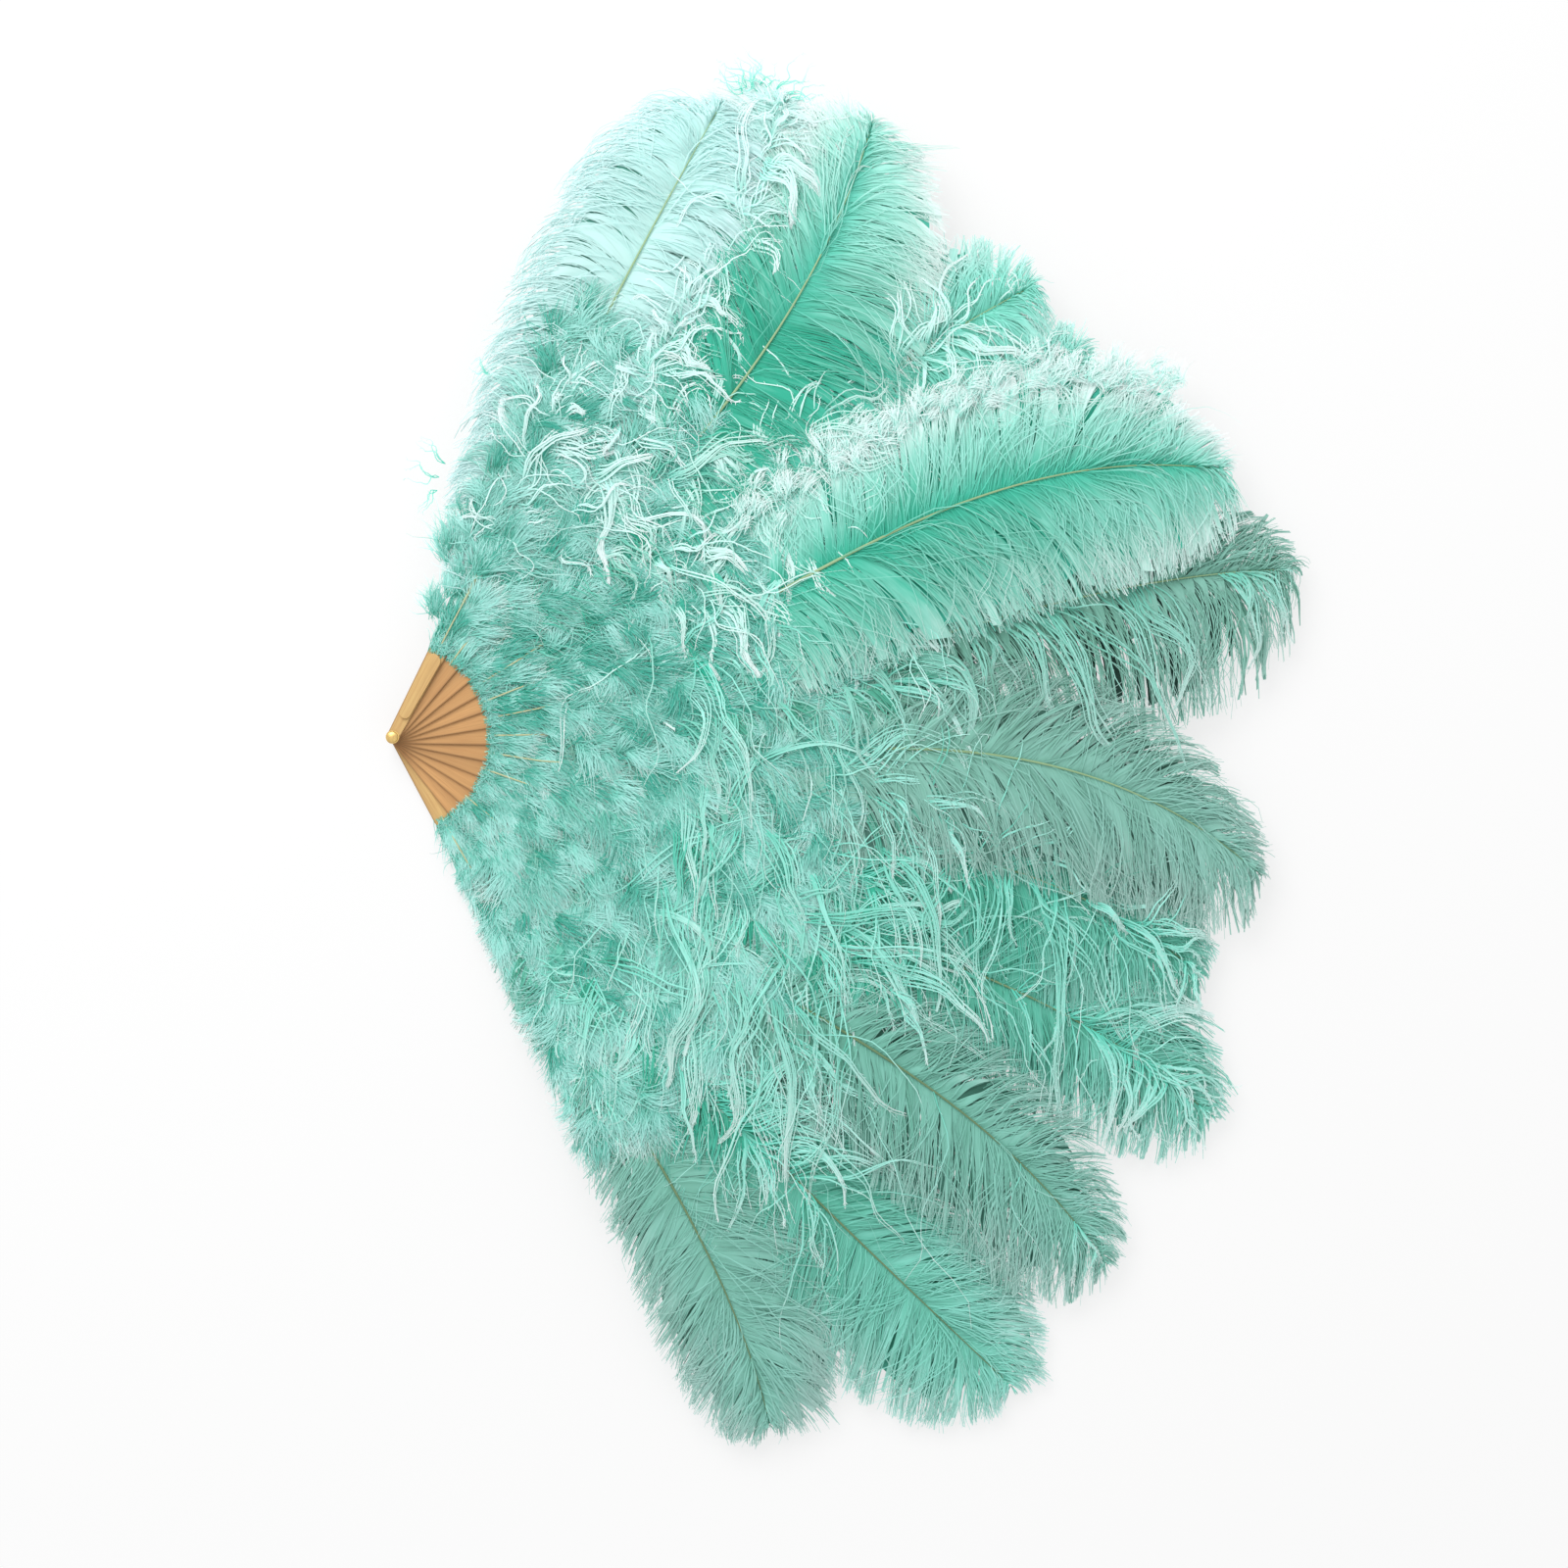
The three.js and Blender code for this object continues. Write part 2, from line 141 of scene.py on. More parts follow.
# How far the colours turn grey, or on the last leaves bluish white, which is painted light where the light
# falls brightest, and how many leaves those are
WASH = [0.42, 0.15, 0.38, 0.14, 0.12, 0.5, 0.5, 0, 0.05, 0.05, 0.05, 0.3, 0.62]
GREY_WASH = (0.32, 0.42, 0.37)
PAINTED_LIGHT_WASH = (0.74, 0.9, 0.93)
PAINTED_LIGHT_LEAVES = 2
# How far the long plume stands above its layer beyond mid-length, where it shows in front of the next ones
LIFT = [2 * MM, 0, 6 * MM, 0, 0, 6 * MM, 0, 13 * MM, 0, 2 * MM, 7 * MM, 0, 3 * MM]
LIFT_START = 290 * MM
LIFT_FULL = 430 * MM

# The tables below are for some leaves, counted from 0 at the rear guard.
# The leaf with a crest of white curls along its upper edge
CRESTED = 7
# How much paler the front half of the long plume is
FRONT_LIGHT = {7: 0.5}
# How much longer the locks of the front plume are
LOW_REACH = {1: 0.9, 2: 0.8, 3: 0.5}
# How openly the barbs of the long plume stand, so that its bed of painted shade shows between them
OPENNESS = {2: 0.4, 3: 0.3, 5: 0.5, 6: 1.0}
# The sides of the long plume that carry locks, where it is one side alone
LOCK_SIDES = {2: (-1,), 6: (-1,)}
# Where the locks of the long plume end, as a share of its vane
LOCKS_END = {1: 0.62}
# Where the long plume's quill shows bare, from and to these distances from the pivot, in millimetres
BARE_QUILLS = {
    0: (394, 690), 1: (600, 760), 2: (513, 755), 5: (540, 786), 7: (425, 636), 9: (655, 716), 10: (469, 682),
    12: (428, 644),
}
# How far from the pivot the front plume's quill shows over the down, in millimetres
BASE_QUILLS = {0: 165, 2: 128, 4: 150, 5: 186, 6: 140, 7: 178, 8: 150, 9: 172, 11: 118, 12: 160}
# Locks keep this far from the bare quills, apart from a few strays
QUILL_MARGIN = 9 * MM
STRAY_SHARE = 0.06

# Each kind of growth has its own random numbers
SEED = 7
LONG, FRONT, DOWN = 1, 2, 3


def two_digits(number):
    return f"{number:02d}"


def leaf_name(index):
    return "leaf_" + two_digits(index + 1)


def groups_of(values, gap):
    """The sorted values in groups that lie more than gap apart."""
    values = np.sort(values)
    return np.split(values, np.flatnonzero(np.diff(values) > gap) + 1)


def smooth(share):
    share = np.clip(share, 0, 1)
    return share * share * (3 - 2 * share)


def polar(points):
    """How far points lie from the pivot's axis, and in which direction."""
    return np.hypot(points[..., 0], points[..., 1]), np.arctan2(points[..., 1], points[..., 0])


def direction(angle):
    return np.stack((np.cos(angle), np.sin(angle)), -1)


def node_points(node):
    """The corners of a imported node's mesh."""
    vertices = frame["nodes"][node].data.vertices
    points = np.empty(len(vertices) * 3, np.float32)
    vertices.foreach_get("co", points)
    return points.reshape(-1, 3).astype(float)


class Blade:
    """A feather's stations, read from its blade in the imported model."""

    def __init__(self, node):
        points = node_points(node)
        radius, angle = polar(points)
        self.radii = np.array([group.mean() for group in groups_of(radius, STATION_MATCH)])
        rows = [np.abs(radius - at) < STATION_MATCH for at in self.radii]
        columns = [[group.mean() for group in groups_of(angle[row], COLUMN_MATCH)] for row in rows]
        self.rear_angle = np.array([column[0] for column in columns])
        self.middle_angle = np.array([column[len(column) // 2] for column in columns])
        self.front_angle = np.array([column[-1] for column in columns])
        self.heights = np.array([points[row, 2].min() for row in rows])
        self.bottom = self.heights[0]
        self.angle = self.middle_angle[0]
        self.start = self.radii[2]
        self.reach = self.radii[-1]
        self.span = self.reach - self.start
        self.swing = np.polyfit(self.share_at(self.radii[2:]), self.middle_angle[2:], 2)

    def share_at(self, radius):
        return np.maximum(0, (radius - self.start) / self.span)

    def radius_at(self, share):
        return self.start + share * self.span

    def spine(self, radius):
        """Points in the plane on the feather's middle line, at these distances from the pivot."""
        return radius[:, None] * direction(np.polyval(self.swing, self.share_at(radius)))

    def heading(self, radius):
        ahead = self.spine(radius + MM) - self.spine(radius - MM)
        return np.arctan2(ahead[..., 1], ahead[..., 0])

    def half_width(self, radius, side):
        """How wide the blade is at this distance, towards the rear guard (-1) or the front one (1)."""
        edge = self.front_angle if side > 0 else self.rear_angle
        return np.interp(radius, self.radii, np.abs(edge - self.middle_angle) * self.radii)


LONG_BLADES = [Blade("plume_" + two_digits(i + 1)) for i in range(LEAVES)]
FRONT_BLADES = [Blade("front_plume_" + two_digits(i + 1)) for i in range(LEAVES)]
LONGEST = max(LONG_BLADES, key=lambda blade: blade.reach)
# How far the corners of the feathers' arch are rounded
ROUNDING = 20 * MM


def arch(radius):
    """How high the feathers arch at a distance from the pivot."""
    heights = LONGEST.heights - LONGEST.bottom
    near, far = (np.interp(radius + step, LONGEST.radii, heights) for step in (-ROUNDING, ROUNDING))
    return (near + far) / 2


def lifted(radius):
    """How much of a plume's lift it has at a distance from the pivot."""
    return smooth((radius - LIFT_START) / (LIFT_FULL - LIFT_START))


# Growing barbs


@dataclass
class Coat:
    """One coat of barbs along a shaft. Lengths are in metres, turns in radians and leans in degrees."""

    # Where it starts and ends, as shares of the vane, and how its barbs leave the shaft there
    first: float = 0.02
    last: float = 0.98
    spacing: float = 1.5 * MM
    width: float = 1.2 * MM
    lean: tuple = ((0, 64), (0.5, 60), (0.8, 56), (0.92, 46), (0.98, 26))
    lean_spread: float = 0.05
    # How long the barbs are against the blade's width, and how far they pass its outline
    fill: float = 1.4
    edge: float = 0.0
    ragged: tuple = (0.85, 1.05)
    past: tuple = (-14 * MM, 5 * MM)
    # How they bend in the plane: towards the ground, back towards the stave, hooked, rippled
    droop: float = 1.0
    back: float = 0.3
    curl_spread: float = 0.08
    hook: float = 0.15
    wave: float = 0.2
    ripples: tuple = (4, 9)
    # How high they stand, and how far they roll about their own length
    base: float = 0.8 * MM
    rise: float = 4 * MM
    swell: float = 1.2 * MM
    tip: float = 1 * MM
    lift: float = 0.0
    roll: float = 0.2
    # How much neighbours bend and shorten together
    clump_turn: float = 0.06
    clump_length: float = 0.06
    # Locks: how many barbs each holds, how they differ, how tightly they hold together, and the share of
    # them that is left out
    lock: tuple = (3, 7)
    lock_turn: float = 0.03
    lock_length: float = 0.08
    lock_rise: float = 0.25
    lock_light: float = 0.12
    hold: float = 0.25
    sparse: float = 0.0
    # Short side hairs on each barb
    hairs: int = 0
    # How pale they are, by how much they differ, and how much paler they are near the plume's tip
    light: float = 0.4
    light_spread: float = 0.12
    tip_light: float = 0.3
    # 1 for single barbs, and 0 for the smooth rows of a sheet
    loose: float = 1.0


# Neighbouring barbs look alike over this length of their shaft
CLUMP = 13 * MM


def clumps(radius, *seed):
    """Smooth random numbers along a shaft."""
    knots = np.random.default_rng([SEED, *seed]).normal(0, 1, int(LONGEST.reach / CLUMP) + 3)
    place = radius / CLUMP
    low = place.astype(int)
    return knots[low] + (knots[low + 1] - knots[low]) * smooth(place - low)


def strands(count, **values):
    """A table of strands, with one number for each strand in each column."""
    columns = (
        "x y heading length droop curl hook wave phase ripples rise swell tip base lift width roll twist tone"
        " past lock hold"
    )
    table = {name: np.zeros(count) for name in columns.split()}
    for name, value in values.items():
        table[name] = np.broadcast_to(np.asarray(value, float), count).copy()
    return table


def together(tables):
    """Several tables of strands as one, with their locks kept apart."""
    next_lock = 0
    for table in tables:
        table["lock"] = table["lock"] + next_lock
        next_lock = table["lock"].max() + 1
    return {name: np.concatenate([table[name] for table in tables]) for name in tables[0]}


def chosen(table, keep):
    """The strands of a table that are kept, with their locks numbered anew."""
    table = {name: values[keep] for name, values in table.items()}
    table["lock"] = np.unique(table["lock"], return_inverse=True)[1]
    return table


def roots(blade, coat, rng):
    """How far from the pivot the barbs of a coat stand, and the lock that each belongs to."""
    start, end = blade.radius_at(coat.first), blade.radius_at(coat.last)
    count = int((end - start) / coat.spacing)
    radius = np.linspace(start, end, count)
    if not coat.loose and not coat.hold:
        return radius, np.zeros(count, int)
    if coat.loose:
        lock = np.cumsum(rng.uniform(0, 1, count) < 1 / rng.integers(*coat.lock, count))
        return radius + rng.uniform(-0.5, 0.5, count) * coat.spacing, lock
    # A sheet's locks share the rows between them, so that they part only towards their tips
    edges = np.cumsum(rng.integers(*coat.lock, count))
    edges = np.concatenate(([0], edges[edges < count - 1], [count - 1]))
    rows = [np.arange(low, high + 1) for low, high in zip(edges, edges[1:])]
    return radius[np.concatenate(rows)], np.repeat(np.arange(len(rows)), [len(row) for row in rows])


# How far the locks of a sheet end from their common edge, against the spread of their lengths
RAGGED_PAST = 34 * MM
# A barb's length follows the blade's width this much nearer the tip, as a share of the vane, and is at least
# the shortest one
LOOK_AHEAD = 0.07
SHORTEST_BARB = 5 * MM


def barbs(blade, side, coat, rng, *seed):
    """The barbs of a coat on one side of a shaft, as a table of strands."""
    radius, lock = roots(blade, coat, rng)
    count = len(radius)
    alike = [clumps(radius, *seed, side + 1, channel) for channel in range(6)]
    per_lock = rng.normal(0, 1, (5, lock.max() + 1))[:, lock]
    in_step = rng.uniform(0, 1, (3, lock.max() + 1))[:, lock]
    own = coat.loose * rng.normal(0, 1, (4, count))
    spot = blade.spine(radius)
    share = blade.share_at(radius)
    lean = np.radians(np.interp(share, *zip(*coat.lean)))
    # The soft edge beyond the blade swells from a third of the vane, and ends with it
    edge = coat.edge * smooth((share - 0.3) / 0.35) * (1 - smooth((share - 0.85) / 0.15))
    ahead = np.minimum(blade.reach, radius + LOOK_AHEAD * blade.span)
    width = blade.half_width(ahead, side) + edge
    widest = blade.half_width(blade.radii, side).max()
    length = coat.fill * np.maximum(width / np.sin(np.clip(lean, 0.7, 1.5)), 0.6 * widest)
    length *= 1 + coat.clump_length * alike[0] + coat.lock_length * per_lock[0]
    length *= 1 + coat.loose * (rng.uniform(*coat.ragged, count) - 1)
    table = strands(
        count,
        x=spot[:, 0],
        y=spot[:, 1],
        heading=blade.heading(radius) + side * lean
        + coat.clump_turn * alike[1] + coat.lock_turn * per_lock[1] + coat.lean_spread * own[0],
        length=np.maximum(length, SHORTEST_BARB),
        droop=coat.droop * (1 + 0.1 * own[1]),
        curl=side * coat.back * np.sin(lean) + 0.08 * alike[2] + coat.curl_spread * own[2],
        hook=coat.hook * (0.6 * per_lock[2] + 0.4 * alike[5]),
        wave=coat.loose * coat.wave * (0.4 + 0.6 * in_step[0]),
        phase=TURN * in_step[1] + 0.35 * own[2],
        ripples=coat.ripples[0] + (coat.ripples[1] - coat.ripples[0]) * in_step[2],
        rise=coat.rise * (0.8 + 0.25 * alike[3] + coat.lock_rise * per_lock[3]),
        swell=coat.swell * alike[4],
        tip=coat.tip * coat.loose * rng.uniform(0, 1, count),
        base=blade.bottom + coat.base,
        lift=coat.lift,
        width=coat.width * rng.uniform(0.75, 1.2, count),
        roll=coat.loose * rng.normal(0, coat.roll, count),
        twist=coat.loose * rng.normal(0, 2 * coat.roll, count),
        tone=coat.light + coat.light_spread * own[3] + coat.lock_light * per_lock[4] + 0.06 * alike[0]
        + coat.tip_light * smooth((share - TIP_START) / TIP_BLEND),
        past=coat.past[0] + (coat.past[1] - coat.past[0]) * coat.loose * rng.uniform(0, 1, count)
        + 2.5 * MM * alike[1]
        + (1 - coat.loose) * RAGGED_PAST * coat.lock_length * np.minimum(per_lock[0], 0.8)
        + edge,
        lock=lock,
        hold=coat.hold * (1 - 0.15 * coat.loose * rng.uniform(0, 1, count)),
    )
    return chosen(table, rng.uniform(0, 1, lock.max() + 1)[lock] >= coat.sparse) if coat.sparse else table


# A strand's ripples: how fast each turns against the first, and how strong it is
CROOK = ((1.0, 1.0), (1.9, 0.9), (3.1, 0.9))


def paths(table, steps):
    """Each strand's line of points. It turns towards the ground, curls and ripples as it goes."""
    heading = table["heading"].copy()
    place = np.stack((table["x"], table["y"]), -1)
    stride = (table["length"] / steps)[:, None]
    line = [place]
    for step in range(steps):
        share = (step + 0.5) / steps
        sag = 2 * share * table["droop"] * np.sin(GROUND - heading)
        phase = table["phase"] + table["ripples"] * share
        ripple = sum(part * np.cos(speed * phase) for speed, part in CROOK)
        turn = sag + table["curl"] + 3 * table["hook"] * share**2 + table["wave"] * ripple
        heading = heading + turn / steps
        place = place + stride * direction(heading)
        line.append(place)
    flat = np.stack(line, 1)
    radius = np.hypot(flat[..., 0], flat[..., 1])
    share = np.linspace(0, 1, steps + 1)
    height = table["rise"][:, None] * np.sin(math.pi * share**0.8) + table["tip"][:, None] * share**2
    height += table["swell"][:, None] * np.sin(TURN * share)
    height += table["lift"][:, None] * lifted(radius)
    return np.concatenate((flat, (table["base"][:, None] + arch(radius) + height)[..., None]), -1)


def outside(blade, place):
    """How far points lie outside a blade's outline, seen from above."""
    radius, angle = polar(place)
    off = (angle - np.interp(radius, blade.radii, blade.middle_angle)) * radius
    half = np.where(off > 0, blade.half_width(radius, 1), blade.half_width(radius, -1))
    return np.maximum(np.abs(off) - half, radius - blade.reach)


def share_inside(beyond, past):
    """The share of each strand that lies no further out than it may."""
    steps = beyond.shape[1] - 1
    far = beyond > past[:, None]
    far[:, 0] = False
    first = np.where(far.any(1), far.argmax(1), steps)
    row = np.arange(len(beyond))
    before, after = beyond[row, first - 1], beyond[row, first]
    part = np.clip((past - before) / np.maximum(after - before, 1e-6), 0, 1)
    return np.where(far.any(1), np.maximum((first - 1 + part) / steps, 0.15), 1)


def shortened(table, steps, blades):
    """The table with its strands short enough to stay within the outlines of these blades."""
    line = paths(table, steps)
    beyond = np.min([outside(blade, line) for blade in blades], axis=0)
    return dict(table, length=table["length"] * share_inside(beyond, table["past"]))


def off_quills(line, rng):
    """True for the strands that leave the bare stretches of quill in view, and for a few others."""
    radius, angle = polar(line)
    crossing = np.zeros(len(line), bool)
    for index, (start, end) in BARE_QUILLS.items():
        blade = LONG_BLADES[index]
        off = np.abs(angle - np.polyval(blade.swing, blade.share_at(radius))) * radius
        crossing |= ((off < QUILL_MARGIN) & (radius > start * MM) & (radius < end * MM)).any(1)
    return ~crossing | (rng.uniform(0, 1, len(line)) < STRAY_SHARE)


def draw_together(line, table):
    """Pulls the strands of each lock towards their common path, and most of all at its tip."""
    lock = table["lock"].astype(int)
    members = np.bincount(lock)
    share = np.linspace(0, 1, line.shape[1])
    hold = table["hold"][:, None]
    pull = hold * smooth(share / 0.6) + (1 - hold) * hold * smooth((share - 0.55) / 0.45)
    common = np.empty_like(line)
    for step in range(line.shape[1]):
        for axis in range(3):
            total = np.bincount(lock, weights=line[:, step, axis])
            common[:, step, axis] = (total / np.maximum(members, 1))[lock]
    return line + (common - line) * pull[..., None]


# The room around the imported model's box that fluff may fill
ROOM = (
    (CAD_BOX[0].x - PROUD_SIDE, CAD_BOX[0].y - PROUD_END, LOWEST),
    (CAD_BOX[1].x + PROUD_SIDE, CAD_BOX[1].y + PROUD_END, HIGHEST),
)


def grown(table, steps):
    """The lines of a table's strands, drawn together into locks and kept inside their room."""
    return np.clip(draw_together(paths(table, steps), table), *ROOM)


# The map that every grown mesh carries
MAP = "OFBake"
# How wide a band is on it, and the share of it that rows of strands fill
MAP_BAND = 0.008
MAP_START, MAP_END = 0.01, 0.99


def mapped_mesh(name, corners, quads, chart):
    """A mesh from its corners, its quads, and the map's place of each corner."""
    mesh = bpy.data.meshes.new(name)
    mesh.vertices.add(len(corners))
    mesh.vertices.foreach_set("co", corners.astype(np.float32).ravel())
    mesh.loops.add(quads.size)
    mesh.loops.foreach_set("vertex_index", quads.ravel().astype(np.int32))
    mesh.polygons.add(len(quads))
    mesh.polygons.foreach_set("loop_start", np.arange(0, quads.size, 4, dtype=np.int32))
    layer = mesh.uv_layers.new(name=MAP)
    layer.data.foreach_set("uv", chart[quads.ravel()].astype(np.float32).ravel())
    mesh.update(calc_edges=True)
    mesh.shade_smooth()
    return mesh


def ribbons(line, table, blunt):
    """The corners, quads and map of one narrow band for each strand. U runs along a band, V is its tone."""
    count, points = line.shape[:2]
    share = np.linspace(0, 1, points)
    tangent = np.gradient(line, axis=1)
    tangent /= np.maximum(np.linalg.norm(tangent, axis=2, keepdims=True), 1e-9)
    across = np.cross(tangent, (0, 0, 1.0))
    across /= np.maximum(np.linalg.norm(across, axis=2, keepdims=True), 1e-9)
    upwards = np.cross(across, tangent)
    roll = (table["roll"][:, None] + table["twist"][:, None] * share)[..., None]
    taper = (0.7 + 0.3 * np.minimum(1, share / 0.2)) * (1 - (1 - blunt) * share**1.6)
    half = (table["width"][:, None] / 2 * taper)[..., None]
    side = half * (across * np.cos(roll) + upwards * np.sin(roll))
    corners = np.stack((line - side, line + side), 2)
    corners[..., 2] = np.clip(corners[..., 2], LOWEST, HIGHEST)
    first = (np.arange(count)[:, None] * points + np.arange(points - 1)).ravel() * 2
    quads = np.stack((first, first + 1, first + 3, first + 2), -1)
    tone = np.clip(table["tone"], MAP_BAND, 1 - MAP_BAND)
    start = table.get("start", np.full(count, MAP_START))
    chart = np.empty((count, points, 2, 2))
    chart[..., 0] = (start[:, None] + (MAP_END - start[:, None]) * share)[..., None]
    chart[..., 0, 1] = tone[:, None] - MAP_BAND / 2
    chart[..., 1, 1] = tone[:, None] + MAP_BAND / 2
    return corners.reshape(-1, 3), quads, chart.reshape(-1, 2)


def ribbon_mesh(name, line, table, blunt=0.28, hairs=0, rng=None):
    """A mesh of one narrow band for each strand, with some side hairs on each."""
    parts = [ribbons(line, table, blunt)]
    if hairs:
        parts.append(ribbons(*side_hairs(line, table, hairs * len(line), rng), 0.4))
    corners, quads, chart = zip(*parts)
    offsets = np.cumsum([0] + [len(part) for part in corners[:-1]])
    quads = [part + offset for part, offset in zip(quads, offsets)]
    return mapped_mesh(name, np.concatenate(corners), np.concatenate(quads), np.concatenate(chart))


# A side hair's length, width and fall towards the ground
HAIR_LENGTH = 3.2 * MM
HAIR_WIDTH = 0.55 * MM
HAIR_FALL = 0.15 * HAIR_LENGTH


def side_hairs(line, table, count, rng):
    """Short hairs that stand off the strands at random places, like a barb's own fine fringe."""
    strand = rng.integers(0, len(line), count)
    place = rng.uniform(0.08, 1, count) * (line.shape[1] - 1)
    low = np.minimum(place.astype(int), line.shape[1] - 2)
    ahead = line[strand, low + 1] - line[strand, low]
    root = line[strand, low] + ahead * (place - low)[:, None]
    heading = np.arctan2(ahead[:, 1], ahead[:, 0]) + rng.choice((-1, 1), count) * rng.uniform(0.3, 1.0, count)
    length = HAIR_LENGTH * rng.uniform(0.5, 1.3, count)
    stride = length[:, None] * np.stack((np.cos(heading), np.sin(heading), rng.normal(0, 0.3, count)), -1)
    hairs = np.stack((root, root + 0.5 * stride, root + stride + (0, -HAIR_FALL, 0)), 1)
    level = dict(width=np.full(count, HAIR_WIDTH), roll=np.zeros(count), twist=np.zeros(count))
    start = 0.2 + 0.6 * place / (line.shape[1] - 1)
    return hairs, dict(level, tone=table["tone"][strand], start=start)


def sheet_mesh(name, line, sheet, across, reach=1.0):
    """A mesh of smooth sheets through rows of points. U runs along a row, up to reach, and V is across."""
    rows, points = line.shape[:2]
    joined = np.flatnonzero(np.diff(sheet) == 0)
    first = (joined[:, None] * points + np.arange(points - 1)).ravel()
    quads = np.stack((first, first + points, first + points + 1, first + 1), -1)
    chart = np.empty((rows, points, 2))
    chart[..., 0] = np.linspace(MAP_START, MAP_END * reach, points)
    chart[..., 1] = across[:, None]
    return mapped_mesh(name, line.reshape(-1, 3), quads, chart.reshape(-1, 2))


def vane_sheet(name, blade, coat, looks, steps, rng, *seed):
    """The two smooth halves of a vane, parted into locks towards their edges, in one mesh."""
    lines, sheets, places = [], [], []
    for side, look in zip((-1, 1), looks):
        table = shortened(barbs(blade, side, sided(coat, look), rng, *seed), steps, [blade])
        radius = np.hypot(table["x"], table["y"])
        along = (radius - radius.min()) / (radius.max() - radius.min())
        # The rows of the rear half run backwards, so that both halves face upwards
        lines.append(grown(table, steps)[::side])
        sheets.append(side * (1 + table["lock"][::side]))
        places.append((0.26 + 0.25 * side + 0.48 * along)[::side])
    return sheet_mesh(name, np.concatenate(lines), np.concatenate(sheets), np.concatenate(places))


def add_piece(body, slot, mesh, material, *replaced):
    """Puts a finished mesh in the scene, on its body, with its material."""
    piece = bpy.data.objects.new(mesh.name, mesh)
    bpy.context.scene.collection.objects.link(piece)
    finish_piece(piece, body, slot, material, *replaced)


def finish_piece(piece, body, slot, material, *replaced):
    give_material(piece, material)
    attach(piece, body)
    if replaced:
        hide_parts(*replaced)


def give_material(piece, material):
    piece.data.materials.clear()
    piece.data.materials.append(material)


def select_only(piece):
    bpy.ops.object.select_all(action="DESELECT")
    piece.select_set(True)
    bpy.context.view_layer.objects.active = piece


# Materials


def arithmetic(operation, swapped=False):
    """A method that adds a Math node for its operator."""

    def method(signal, other):
        values = (other, signal) if swapped else (signal, other)
        return signal.math(operation, *values)

    return method


class Signal:
    """A socket whose arithmetic adds Math nodes."""

    __add__ = arithmetic("ADD")
    __sub__ = arithmetic("SUBTRACT")
    __mul__ = arithmetic("MULTIPLY")
    __truediv__ = arithmetic("DIVIDE")
    __pow__ = arithmetic("POWER")
    __radd__ = arithmetic("ADD", True)
    __rsub__ = arithmetic("SUBTRACT", True)
    __rmul__ = arithmetic("MULTIPLY", True)

    def __init__(self, recipe, socket):
        self.recipe = recipe
        self.socket = socket

    def math(self, operation, *values):
        return self.recipe.node("ShaderNodeMath", {"operation": operation}, dict(enumerate(values)))

    def between(self, low, high):
        """0 at low, 1 at high, straight between them and level beyond."""
        values = {"Value": self, "From Min": low, "From Max": high}
        return self.recipe.node("ShaderNodeMapRange", {"clamp": True}, values)


